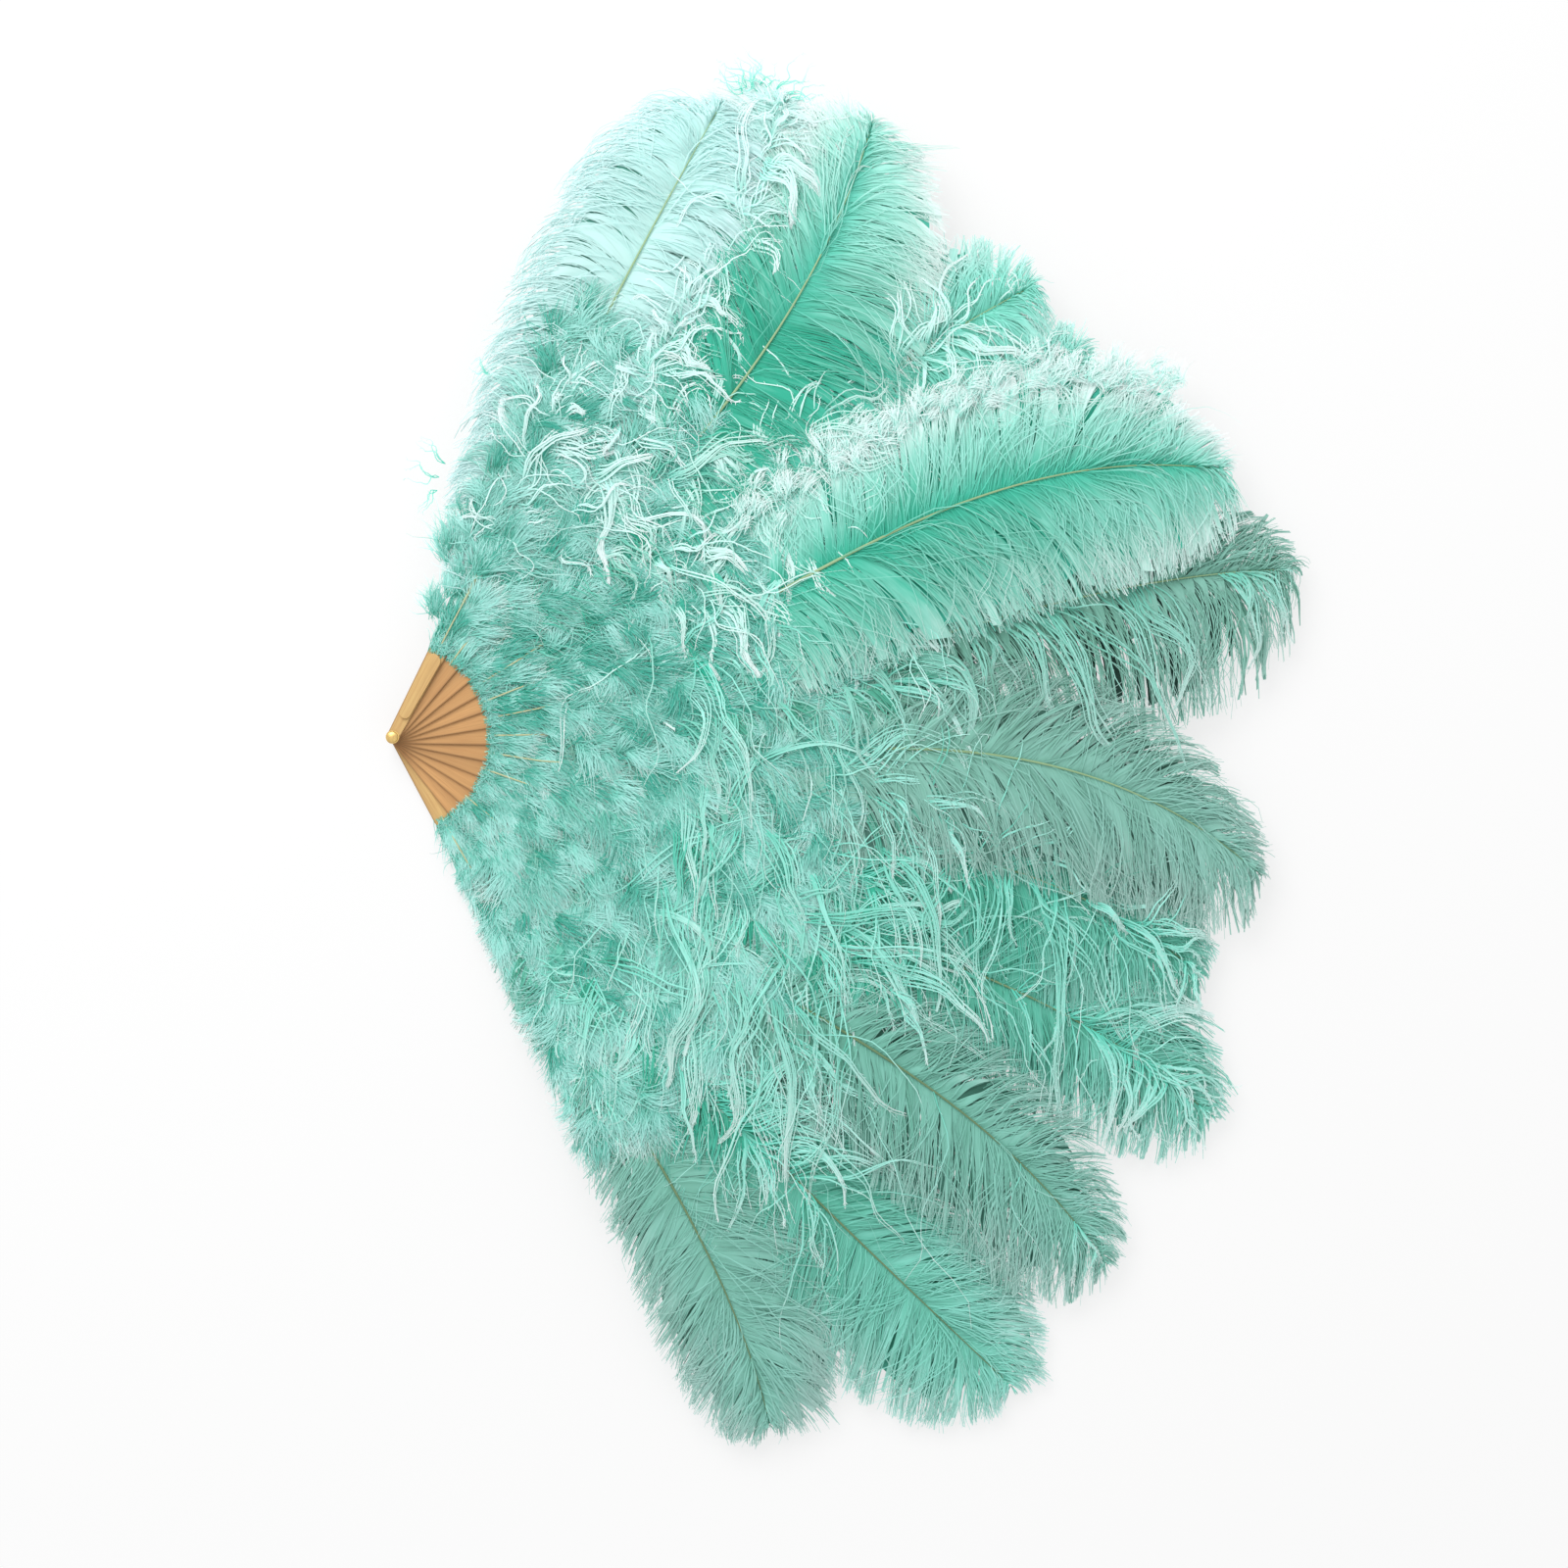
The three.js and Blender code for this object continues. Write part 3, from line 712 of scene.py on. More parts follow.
class Recipe:
    """One material's nodes, which end in a Principled shader."""

    def __init__(self, name, **constants):
        self.material = bpy.data.materials.new(name)
        self.material.use_nodes = True
        self.tree = self.material.node_tree
        self.tree.nodes.clear()
        self.shader = self.tree.nodes.new("ShaderNodeBsdfPrincipled")
        self.output = self.tree.nodes.new("ShaderNodeOutputMaterial")
        self.tree.links.new(self.shader.outputs["BSDF"], self.output.inputs["Surface"])
        for key, value in constants.items():
            self.feed(self.shader.inputs[key.replace("_", " ").title().replace("Ior", "IOR")], value)

    def feed(self, socket, value):
        if isinstance(value, Signal):
            self.tree.links.new(value.socket, socket)
        elif hasattr(value, "__len__") and len(value) == 3 and socket.type == "RGBA":
            socket.default_value = (*value, 1)
        else:
            socket.default_value = value

    def node(self, kind, settings=None, inputs=None, output=0):
        """Any node, by its type, its settings, and the values or links of its sockets."""
        made = self.tree.nodes.new(kind)
        for key, value in (settings or {}).items():
            setattr(made, key, value)
        for key, value in (inputs or {}).items():
            self.feed(made.inputs[key], value)
        return Signal(self, made.outputs[output])

    def blend(self, factor, low, high):
        """A colour between two colours."""
        inputs = {0: factor, 6: low, 7: high}
        return self.node("ShaderNodeMix", {"data_type": "RGBA"}, inputs, 2)

    def ramp(self, value, stops):
        """A colour from stops of a place and a colour."""
        made = self.tree.nodes.new("ShaderNodeValToRGB")
        made.color_ramp.interpolation = "EASE"
        elements = made.color_ramp.elements
        while len(elements) < len(stops):
            elements.new(0.5)
        for element, (place, colour) in zip(elements, stops):
            element.position = place
            element.color = (*colour, 1)
        self.feed(made.inputs["Fac"], value)
        return Signal(self, made.outputs["Color"])

    def noise(self, place, scale, detail=2.0, roughness=0.5):
        inputs = {"Vector": place, "Scale": scale, "Detail": detail, "Roughness": roughness}
        return self.node("ShaderNodeTexNoise", {"noise_dimensions": "3D"}, inputs)

    def mapping(self, place, **values):
        inputs = {key.title(): value for key, value in values.items()}
        return self.node("ShaderNodeMapping", {}, {"Vector": place, **inputs})

    def stretched_noise(self, place, stretch, *detail):
        """Noise that is finer along some axes than along others."""
        return self.noise(self.mapping(place, scale=stretch), 1.0, *detail)

    def object_place(self, turn=0.0, stretch=(1, 1, 1)):
        """Object coordinates, turned about Z and then stretched."""
        place = self.node("ShaderNodeTexCoord", output="Object")
        return self.mapping(self.mapping(place, rotation=(0, 0, turn)), scale=stretch)

    def map_place(self):
        return self.node("ShaderNodeUVMap", {"uv_map": MAP})

    def parts(self, place):
        """A vector's three numbers."""
        made = self.tree.nodes.new("ShaderNodeSeparateXYZ")
        self.feed(made.inputs[0], place)
        return [Signal(self, made.outputs[i]) for i in range(3)]

    def colour(self, value):
        self.feed(self.shader.inputs["Base Color"], value)

    def rough(self, value):
        self.feed(self.shader.inputs["Roughness"], value)

    def bump(self, height, strength, distance):
        inputs = {"Height": height, "Strength": strength, "Distance": distance}
        self.feed(self.shader.inputs["Normal"], self.node("ShaderNodeBump", {}, inputs))


def dimmed(colour, share):
    return tuple(share * part for part in colour)


def dimmed_stops(stops, share):
    return [(place, dimmed(colour, share)) for place, colour in stops]


def washed(stops, index, part=1.0):
    """A leaf's own stops: greyer, or on the last leaves washed bluish white as painted light."""
    wash = PAINTED_LIGHT_WASH if index >= LEAVES - PAINTED_LIGHT_LEAVES else GREY_WASH
    share = part * WASH[index]
    return [(place, tuple(own + share * (towards - own) for own, towards in zip(colour, wash)))
            for place, colour in stops]


def feather_recipe(name):
    return Recipe(name, roughness=0.9, specular_ior_level=0.1)


def feather_material(name, deep, pale):
    """Dyed barbs: the map's U runs from root to tip, and its V from the deep stops to the pale ones."""
    recipe = feather_recipe(name)
    place = recipe.map_place()
    along, tone, _ = recipe.parts(place)
    mixed = tone + 0.22 * (recipe.stretched_noise(place, (9, 60, 1)) - 0.5)
    recipe.colour(recipe.blend(mixed.between(0, 1), recipe.ramp(along, deep), recipe.ramp(along, pale)))
    return recipe.material


# Width of the fine streaks along a smooth vane's barbs, and how many of them a broad one holds
STREAK = 2.6 * MM
BROAD_STREAK = 7


def sheet_material(name, deep, pale, light, length, tip_light=0.0, front_light=0.0):
    """A smooth vane: the map's U runs from its shaft to its edge, and V along a shaft of this length.

    Without a light of its own, V is also how pale it is.
    """
    recipe = feather_recipe(name)
    place = recipe.map_place()
    along, across, _ = recipe.parts(place)
    lines = 2 * length / STREAK
    fine = recipe.stretched_noise(place, (4, lines, 1))
    broad = recipe.stretched_noise(place, (2, lines / BROAD_STREAK, 1))
    tone = (across if light is None else light) + 0.6 * (fine - 0.5) + 0.8 * (broad - 0.5)
    if tip_light:
        # V runs up to 0.5 along the rear half of the vane, and on from 0.5 along the front half
        share = across.math("FRACT", 2 * across)
        tone = tone + tip_light * share.between(TIP_START, TIP_START + TIP_BLEND)
    if front_light:
        tone = tone + front_light * across.between(0.49, 0.51) * along.between(0.1, 0.7)
    recipe.colour(recipe.blend(tone.between(0, 1), recipe.ramp(along, deep), recipe.ramp(along, pale)))
    recipe.bump(fine, 0.35, 0.4 * MM)
    return recipe.material


def quill_material(settings):
    """A shaft, straw coloured near the stave and greener towards its tip."""
    recipe = Recipe("Quill", roughness=0.42, specular_ior_level=0.45)
    x, y, _ = recipe.parts(recipe.object_place())
    distance = (x * x + y * y) ** 0.5
    far = recipe.blend((0 - y).between(0.05, 0.3), settings.quill_tip_colour, settings.quill_shade_colour)
    tip = recipe.blend(distance.between(0.15, 0.45), settings.quill_colour, far)
    streaks = recipe.noise(recipe.object_place(), 900.0, 3.0)
    recipe.colour(recipe.blend(streaks.between(0.35, 0.75) * 0.35, tip, settings.quill_streak_colour))
    return recipe.material


def bamboo_material(name, angle, half_slope, half_root, colour, dark, offset):
    """Polished bamboo whose fibres run along its stave, with darker edges that are partly the bamboo's own
    and partly painted shade along the joints between staves.
    """
    recipe = Recipe(name, specular_ior_level=0.5, coat_roughness=0.3)
    place = recipe.object_place(-angle)
    along, across, _ = recipe.parts(place)
    shifted = recipe.node("ShaderNodeVectorMath", {"operation": "ADD"}, {0: place, 1: (offset, 0, offset)})
    fibres = recipe.stretched_noise(shifted, (26, 900, 300), 5.0, 0.6)
    wide = recipe.stretched_noise(shifted, (9, 120, 60))
    flecks = recipe.stretched_noise(shifted, (110, 1600, 600))
    # Darker towards both side edges: partly the bamboo's own edge, partly painted shade where neighbouring
    # staves overlap
    edge = (across.math("ABSOLUTE", across) / (half_root + half_slope * along)).between(0.78, 1.02)
    base = recipe.blend(wide.between(0.3, 0.7), colour, dimmed(colour, 0.84))
    grain = recipe.blend(fibres.between(0.35, 0.75) * 0.6, base, dark)
    flecked = recipe.blend(flecks.between(0.62, 0.8) * 0.5, grain, dark)
    recipe.colour(recipe.blend(edge * 0.75, flecked, dimmed(dark, 0.5)))
    recipe.rough(0.36 + 0.22 * fibres)
    recipe.bump(fibres, 0.25, 0.2 * MM)
    return recipe.material


def brass_material(settings):
    recipe = Recipe("Brass", metallic=1.0)
    wear = recipe.noise(recipe.object_place(), 260.0, 4.0)
    scratches = recipe.noise(recipe.object_place(0.6, (400, 4000, 400)), 1.0, 2.0)
    recipe.colour(recipe.blend(wear.between(0.35, 0.75), settings.brass_colour, settings.brass_tarnish))
    recipe.rough(0.24 + 0.2 * wear + 0.12 * scratches)
    recipe.bump(scratches, 0.12, 0.05 * MM)
    return recipe.material


def satin_material(settings):
    recipe = Recipe("Satin_Ribbon", roughness=0.38, sheen_weight=0.4)
    fine = recipe.noise(recipe.object_place(0, (2500, 2500, 2500)), 1.0, 1.0)
    recipe.colour(recipe.blend(fine, settings.ribbon_colour, dimmed(settings.ribbon_colour, 0.8)))
    recipe.bump(fine, 0.3, 0.1 * MM)
    return recipe.material


# Settings


def colour_setting(name, description, default):
    return FloatVectorProperty(
        name=name, description=description, default=default, subtype="COLOR", min=0, max=1
    )


def length_setting(name, description, default, least=0.0):
    return FloatProperty(name=name, description=description, default=default, unit="LENGTH", min=least)


def count_setting(name, description, default, least):
    return IntProperty(name=name, description=description, default=default, min=least)


class FeatherFanFinish(bpy.types.PropertyGroup):
    """Colours and small sizes of the staves, the pivot and the quills."""

    bamboo_colour: colour_setting("Bamboo", "Colour of the inner staves", (0.66, 0.36, 0.135))
    guard_colour: colour_setting("Guard Bamboo", "Colour of the paler outer staves", (0.76, 0.5, 0.19))
    grain_colour: colour_setting("Grain", "Colour of the bamboo's fibres and edges", (0.42, 0.19, 0.06))
    brass_colour: colour_setting("Brass", "Colour of the pivot", (0.76, 0.53, 0.2))
    brass_tarnish: colour_setting("Tarnish", "Colour of worn spots on the pivot", (0.5, 0.33, 0.13))
    ribbon_colour: colour_setting("Ribbon", "Colour of the satin ribbon", (0.34, 0.7, 0.54))
    quill_colour: colour_setting("Quill", "Colour of the shafts near the staves", (0.55, 0.57, 0.33))
    quill_tip_colour: colour_setting("Quill Tip", "Colour of the shafts near their tips", (0.3, 0.48, 0.26))
    quill_shade_colour: colour_setting(
        "Lower Quill Tip", "Colour of the lower leaves' shafts near their tips", (0.13, 0.24, 0.12)
    )
    quill_streak_colour: colour_setting(
        "Quill Streaks", "Colour of the streaks along the shafts", (0.3, 0.3, 0.12)
    )
    edge_round: length_setting("Edge Rounding", "How far the edges of the staves are rounded", 0.35 * MM)
    quill_width: length_setting(
        "Quill Width", "Width of a front plume's shaft where it leaves its stave", 1.6 * MM
    )
    long_quill_width: length_setting(
        "Long Quill Width", "Width of a long plume's shaft where it leaves its stave", 3.8 * MM
    )


class FeatherFanPlumage(bpy.types.PropertyGroup):
    """Sizes and numbers of the barbs and the down."""

    row_spacing: length_setting("Row Spacing", "Distance between the rows of a smooth vane", 3.2 * MM, 1 * MM)
    barb_spacing: length_setting(
        "Barb Spacing", "Distance between neighbouring barbs along a long plume's shaft", 1.2 * MM, 0.3 * MM
    )
    barb_width: length_setting("Barb Width", "Width of a long plume's barb", 0.9 * MM)
    front_spacing: length_setting(
        "Front Barb Spacing", "Distance between neighbouring barbs along a front plume's shaft", 1.6 * MM,
        0.3 * MM,
    )
    front_width: length_setting("Front Barb Width", "Width of a front plume's barb", 1.3 * MM)
    lock_spacing: length_setting(
        "Lock Spacing", "Distance between neighbouring locks along a front plume's shaft", 11 * MM, 2 * MM
    )
    lock_width: length_setting("Lock Barb Width", "Width of each barb in a lock", 1.35 * MM)
    down_tufts: count_setting("Down Tufts", "Number of tufts of down on each leaf", 110, 1)
    down_strands: count_setting("Down Strands", "Number of strands on each tuft", 36, 2)
    cuff_strands: count_setting(
        "Cuff Strands", "Number of short strands at the edge of the down, on each leaf", 420, 1
    )
    down_width: length_setting("Down Width", "Width of a strand of down", 0.78 * MM)


class FeatherFanStage(bpy.types.PropertyGroup):
    """The floor, the lamp and the camera."""

    camera_height: length_setting("Camera Height", "Height of the camera above the floor", 3.44)
    lamp_power: FloatProperty(name="Lamp Power", description="Power of the soft lamp", default=66.0, min=0)
    sky_strength: FloatProperty(
        name="Sky Strength", description="Strength of the light from all around", default=0.68, min=0
    )


class FeatherFanSettings(bpy.types.PropertyGroup):
    """All the settings of the fan."""

    finish: PointerProperty(type=FeatherFanFinish)
    plumage: PointerProperty(type=FeatherFanPlumage)
    stage: PointerProperty(type=FeatherFanStage)


def settings_of(context):
    return context.scene.feather_fan


# Feathers

# A long plume that is tousled less than this is neat, and one that is tousled more than this has locks
NEAT = 0.2
LOCKED = 0.3


def long_coats(index, plumage):
    """The coats of a long plume: a bed of painted shade, sheet, the barbs, tip and wisps on it, locks, and
    barbs behind it.
    """
    light, tousle, openness = LEAF_LIGHT[index], TOUSLE[index], OPENNESS.get(index, 0)
    neat = tousle < NEAT
    inset = -9 * MM - 8 * MM * tousle - (36 + 44 * openness) * MM * openness
    # The bed is painted shade: darker rows under the vane that show in the gaps between its barbs
    shade_bed_inset = -20 * MM - 12 * MM * openness
    shade_bed = Coat(
        last=0.88, spacing=2 * plumage.row_spacing, past=(shade_bed_inset, shade_bed_inset), hook=0.3,
        base=-0.8 * MM, rise=1.5 * MM, swell=0, lift=LIFT[index],
        lock=(1, 4), lock_turn=0, lock_length=0.15 + 0.12 * openness, lock_rise=0, hold=0.35 * openness,
        loose=0,
    )
    sheet = replace(
        shade_bed, last=0.98, spacing=plumage.row_spacing, past=(inset, inset),
        base=0.4 * MM, rise=4 * MM, swell=1.2 * MM,
        lock=(2, 5), lock_turn=0.03, lock_length=0.06 if neat else 0.1, lock_rise=0.02 if neat else 0.15,
        hold=0.3 if neat else 0.5,
    )
    under = Coat(
        spacing=plumage.barb_spacing, width=1.2 * plumage.barb_width, past=(-8 * MM, 7 * MM),
        hook=0.35, wave=0.5, base=0.2 * MM, lift=LIFT[index], roll=0.1,
        lock=(4, 10), lock_turn=0.03 if neat else 0.05, lock_light=0.08, hold=0.2 if neat else 0.3,
        light=light, light_spread=0.1, tip_light=TIP_LIGHT[index],
    )
    vane = replace(
        under, width=plumage.barb_width, past=(-16 * MM, 8 * MM), base=0.45 * MM,
        lock=(3, 9), hold=0.25 if neat else 0.4, light=light + 0.06,
    )
    tip = replace(
        vane, first=0.75, last=0.99, spacing=1.6 * MM,
        lean=((0.72, 58), (0.9, 50), (0.99, 26)), lean_spread=0.2, fill=1.0, past=(-22 * MM, 4 * MM),
        curl_spread=0.4, hook=0.9, wave=1.6, rise=7 * MM, tip=4 * MM,
        lock_turn=0.25, hold=0.5, light=light + 0.1,
    )
    wisps = replace(
        vane, spacing=(3 if index == CRESTED else 6) * MM,
        lean_spread=0.2, ragged=(0.7, 1.15), past=(-20 * MM, 14 * MM),
        curl_spread=0.4, hook=0.7, wave=2.5, base=1.6 * MM, rise=7 * MM, light=light + 0.25,
    )
    ropes = replace(
        wisps, first=0.24, last=LOCKS_END.get(index, 0.98),
        spacing=2.0 * MM - 0.5 * MM * tousle, width=1.4 * MM,
        lean_spread=0.12, fill=1.3 - 0.4 * tousle, ragged=(0.75, 1.1), past=(-22 * MM, 6 * MM),
        curl_spread=0.2, hook=0.5 + 0.9 * tousle, wave=1.5 + 4.5 * tousle, ripples=(6, 11),
        base=3 * MM, rise=9 * MM, tip=2 * MM, roll=0.15,
        lock=(3, 6), lock_turn=0.25 + 0.4 * tousle, lock_length=0.3, lock_light=0.1,
        hold=0.86, sparse=0.45 - 0.35 * tousle,
        hairs=10, light=light + 0.42 + 0.26 * tousle, light_spread=0.05,
    )
    if openness:
        parted = dict(lock=(2, 5), lock_turn=0.04 + 0.08 * openness, hold=0.5 + 0.3 * openness)
        vane = replace(vane, spacing=(1.2 + 0.35 * openness) * MM, wave=0.5 + 0.9 * openness, **parted)
        under = replace(under, spacing=(1.4 + 0.8 * openness) * MM, **parted)
    # Barbs behind the vane; on open plumes they are darker, painted shade that shows through the parted barbs
    back = replace(
        under, spacing=1.7 * plumage.barb_spacing, width=2.2 * plumage.barb_width,
        base=-2 * MM, rise=1.2 * MM, swell=0.4 * MM, tip=-1 * MM, roll=0.25,
        lock=(3, 8), light=0.5 - 0.6 * openness, light_spread=0.18,
    )
    return shade_bed, sheet, [under, vane, tip, wisps], [ropes] if tousle > LOCKED else [], [back]


def front_plume_light(index):
    """How pale a front plume's barbs are."""
    return min(LEAF_LIGHT[index], 0.5)


def front_coats(index, plumage):
    """The coats of a front plume: its sheet, soft barbs on it, and limp locks with pale tips."""
    light, chaos = front_plume_light(index), CHAOS[index]
    sheet = Coat(
        first=0.36, last=0.9, spacing=plumage.row_spacing,
        lean=((0, 60), (0.5, 54), (0.8, 42), (0.95, 8)), fill=1.35, past=(-16 * MM, -16 * MM),
        droop=1.2, hook=0.4, base=1.6 * MM, swell=2.0 * MM, clump_turn=0.12, clump_length=0.12,
        lock=(2, 5), lock_turn=0.08, lock_length=0.15, hold=0.5, loose=0,
    )
    soft = replace(
        sheet, first=0.3, last=0.95, spacing=plumage.front_spacing, width=plumage.front_width,
        lean_spread=0.12, ragged=(0.7, 1.1), past=(-20 * MM, 14 * MM),
        curl_spread=0.15, hook=0.5, wave=0.8, base=2.2 * MM, roll=0.15,
        lock=(5, 11), lock_turn=0.12, hold=0.7,
        light=light - 0.4 - 0.02 * chaos, light_spread=0.06, loose=1,
    )
    ropes = replace(
        soft, spacing=plumage.lock_spacing / 5, width=plumage.lock_width,
        fill=1.4 - 0.35 * chaos + LOW_REACH.get(index, 0), ragged=(0.8, 1.08), past=(-34 * MM, 2 * MM),
        droop=2.0 - 0.9 * chaos, curl_spread=0.14, hook=0.3 + 0.9 * chaos, wave=1.4 + 4.4 * chaos,
        ripples=(6, 11), base=3.6 * MM, rise=7 * MM, tip=3 * MM, roll=0.12,
        lock=(3, 6), lock_turn=0.16 + 0.4 * chaos, lock_length=0.3, hold=0.86,
        sparse=0.25 if index in LOW_REACH else 0.55 - 0.25 * chaos,
        hairs=8, light=light + 0.41 + 0.24 * chaos, light_spread=0.05,
    )
    stray = replace(
        ropes, spacing=14 * MM, width=0.9 * plumage.lock_width, hook=0.9, wave=2.5 + 3.5 * chaos,
        lock=(1, 3), hold=0.5, sparse=0.0, light=light + 0.45,
    )
    return sheet, [soft], [ropes, stray]


# Both sides of a shaft look alike: droop and lean as in the coat, no more reach and no more light
EVEN_LOOKS = ((1, 1, 0, 0), (1, 1, 0, 0))


def sided(coat, side_look):
    """A coat as it grows on one side of its shaft, with that side's droop, lean, reach and paleness."""
    droop, lean_share, edge, light = side_look
    lean = tuple((share, degrees * lean_share) for share, degrees in coat.lean)
    return replace(coat, droop=coat.droop * droop, lean=lean, edge=edge, light=coat.light + light)


def both_sides(blade, coats, looks, rng, *seed, sides=(-1, 1)):
    """The barbs of several coats, side by side, in one table."""
    pairs = [(side, sided(coat, looks[side > 0])) for side in sides for coat in coats]
    return together([barbs(blade, side, coat, rng, *seed) for side, coat in pairs])


def vane_barbs(name, blade, coats, looks, steps, rng, *seed):
    """The single barbs of a vane, which end near the blade's outline."""
    table = shortened(both_sides(blade, coats, looks, rng, *seed), steps, [blade])
    return ribbon_mesh(name, grown(table, steps), table, 0.4)


def hanging_locks(name, blade, coats, looks, steps, rng, *seed, sides=(-1, 1)):
    """The locks that fall over the vanes, away from the bare quills."""
    table = shortened(both_sides(blade, coats, looks, rng, *seed, sides=sides), steps, LONG_BLADES)
    line = grown(table, steps)
    keep = off_quills(line, rng)
    return ribbon_mesh(name, line[keep], chosen(table, keep), 0.3, coats[0].hairs, rng)


# A crest's tufts stand between these shares of the vane. Their band is spread by this much at its start, and
# narrows by so much over this share of the vane.
CREST_TUFTS = 150
CREST_START, CREST_END = 0.34, 0.93
CREST_SPREAD, CREST_NARROWING, CREST_FADE = 10 * MM, 5 * MM, 0.6


def crest(blade, lift, rng, count=CREST_TUFTS):
    """The tufts of a fluffy white ridge along the upper part of a vane."""
    share = np.sort(rng.uniform(CREST_START, CREST_END, count))
    radius = blade.radius_at(share)
    shaft = blade.heading(radius)
    spread = CREST_SPREAD - CREST_NARROWING * (share - CREST_START) / CREST_FADE
    offset = 0.95 * blade.half_width(radius, 1) - 6 * MM + spread * rng.normal(0, 1, count)
    spot = blade.spine(radius) + offset[:, None] * np.stack((-np.sin(shaft), np.cos(shaft)), -1)
    radius, angle = polar(spot)
    return {
        "radius": radius,
        "angle": angle,
        "heading": shaft + 1.0 + rng.normal(0, 0.5, count),
        "turn": rng.normal(-0.5, 0.5, count),
        "length": rng.uniform(16, 30, count) * MM,
        "rise": rng.uniform(1, 3, count) * MM,
        "base": blade.bottom + lift + rng.uniform(3, 7, count) * MM,
        "tone": np.clip(1 + rng.normal(0, 0.15, count), 0.5, 1.1),
    }


# Half the angle between neighbouring leaves, and a little more
HALF_LEAF = math.radians(5.6)
# The down grows wild over this distance from its start
WILD_AFTER = 130 * MM
# How many times the usual tufts the last leaf has, as it shows on top
LAST_LEAF_TUFTS = 1.5
# The share of a leaf's half that the first leaf's down fills, up to the fan's own edge
FIRST_LEAF_REAR = 0.6
# How far the last leaf's down reaches beside its stave at some distances from the pivot, in millimetres
LAST_LEAF_PLACES, LAST_LEAF_REACH = (100, 180, 300, 410), (18, 40, 30, 10)


def tufts(index, plumage, rng):
    """Where a leaf's tufts of down stand, which way they point, how far they turn and how pale they are."""
    last = index == LEAVES - 1
    count = int(plumage.down_tufts * (LAST_LEAF_TUFTS if last else 1))
    blade = FRONT_BLADES[index]
    radius = DOWN_START + 8 * MM + (DOWN_END - DOWN_START) * np.sort(rng.uniform(0, 1, count)) ** 0.75
    rear = -FIRST_LEAF_REAR * HALF_LEAF if index == 0 else -HALF_LEAF
    beside = np.interp(radius / MM, LAST_LEAF_PLACES, LAST_LEAF_REACH) * MM / radius
    front = np.maximum(beside, HALF_LEAF) if last else HALF_LEAF
    angle = blade.angle + rng.uniform(rear, front, count)
    wild = smooth((radius - DOWN_START) / WILD_AFTER)
    return {
        "radius": radius,
        "angle": angle,
        "heading": angle + rng.normal(0, 0.25, count) + wild * rng.normal(-0.15, 0.55, count)
        + (0.9 if last else 0) * smooth((angle - blade.angle) / 0.1) * (1 - wild),
        "turn": wild * rng.normal(0, 0.9, count),
        "length": rng.uniform(34, 58, count) * MM * (0.75 + 0.35 * wild),
        "rise": rng.uniform(3, 7, count) * MM * (0.5 + 0.5 * wild),
        "base": blade.bottom + rng.uniform(0.5, 3, count) * MM,
        "tone": np.clip(DOWN_LIGHT[index] + rng.normal(0, 0.46, count), 0.08, 1.05),
    }


def down_table(tuft, each):
    """Strands that fan out from each tuft. Evenly fanned strands serve as the rows of a sheet."""
    count = len(tuft["radius"])
    owner = np.repeat(np.arange(count), each)
    # The fan runs from its front side to its rear side, so that its sheet faces upwards
    fan = np.tile(np.linspace(1, -1, each), count)
    own = {name: values[owner] for name, values in tuft.items()}
    table = strands(
        len(owner),
        x=own["radius"] * np.cos(own["angle"]),
        y=own["radius"] * np.sin(own["angle"]),
        heading=own["heading"] + 0.55 * fan,
        length=own["length"] * (1 - 0.18 * fan**2),
        droop=0.25,
        curl=own["turn"] - 0.5 * fan,
        rise=own["rise"],
        base=own["base"],
        tone=own["tone"],
        lock=owner,
    )
    return table, fan


def within_rear(table, steps):
    """The table with its strands short enough to stay off the straight rear edge of the fan."""
    radius, angle = polar(paths(table, steps))
    beyond = (REAR_LIMIT - angle) * radius
    return dict(table, length=table["length"] * share_inside(beyond, np.full(len(beyond), 4 * MM)))


# The ground under the down starts and ends this far beyond the down's start, and swells by this much
GROUND_START, GROUND_END = 12 * MM, 200 * MM
GROUND_SWELL = 1.5 * MM


def down_ground(name, blade, points=18, rows=5):
    """A plain soft sheet under the tufts, so that none of the staves' ends shows between them."""
    radius = np.linspace(DOWN_START + GROUND_START, DOWN_START + GROUND_END, points)
    angle = blade.angle + np.linspace(HALF_LEAF, -HALF_LEAF, rows)[:, None]
    height = blade.bottom + 0.4 * MM + arch(radius) + GROUND_SWELL * np.sin(radius / (9 * MM) + 7 * angle)
    line = np.stack((radius * np.cos(angle), radius * np.sin(angle), height), -1)
    return sheet_mesh(name, line, np.zeros(rows), np.linspace(0.36, 0.5, rows))


def down_petals(name, tuft, steps=5):
    """A soft sheet under each tuft."""
    table, fan = down_table(tuft, 7)
    table["length"] = 0.66 * table["length"]
    table["hold"] = np.full(len(fan), 0.6)
    table["base"] = table["base"] - 0.4 * MM
    table = within_rear(table, steps)
    tone = np.clip(0.3 + 0.56 * table["tone"] + 0.025 * fan, 0.01, 0.99)
    return sheet_mesh(name, grown(table, steps), table["lock"], tone, 0.7)


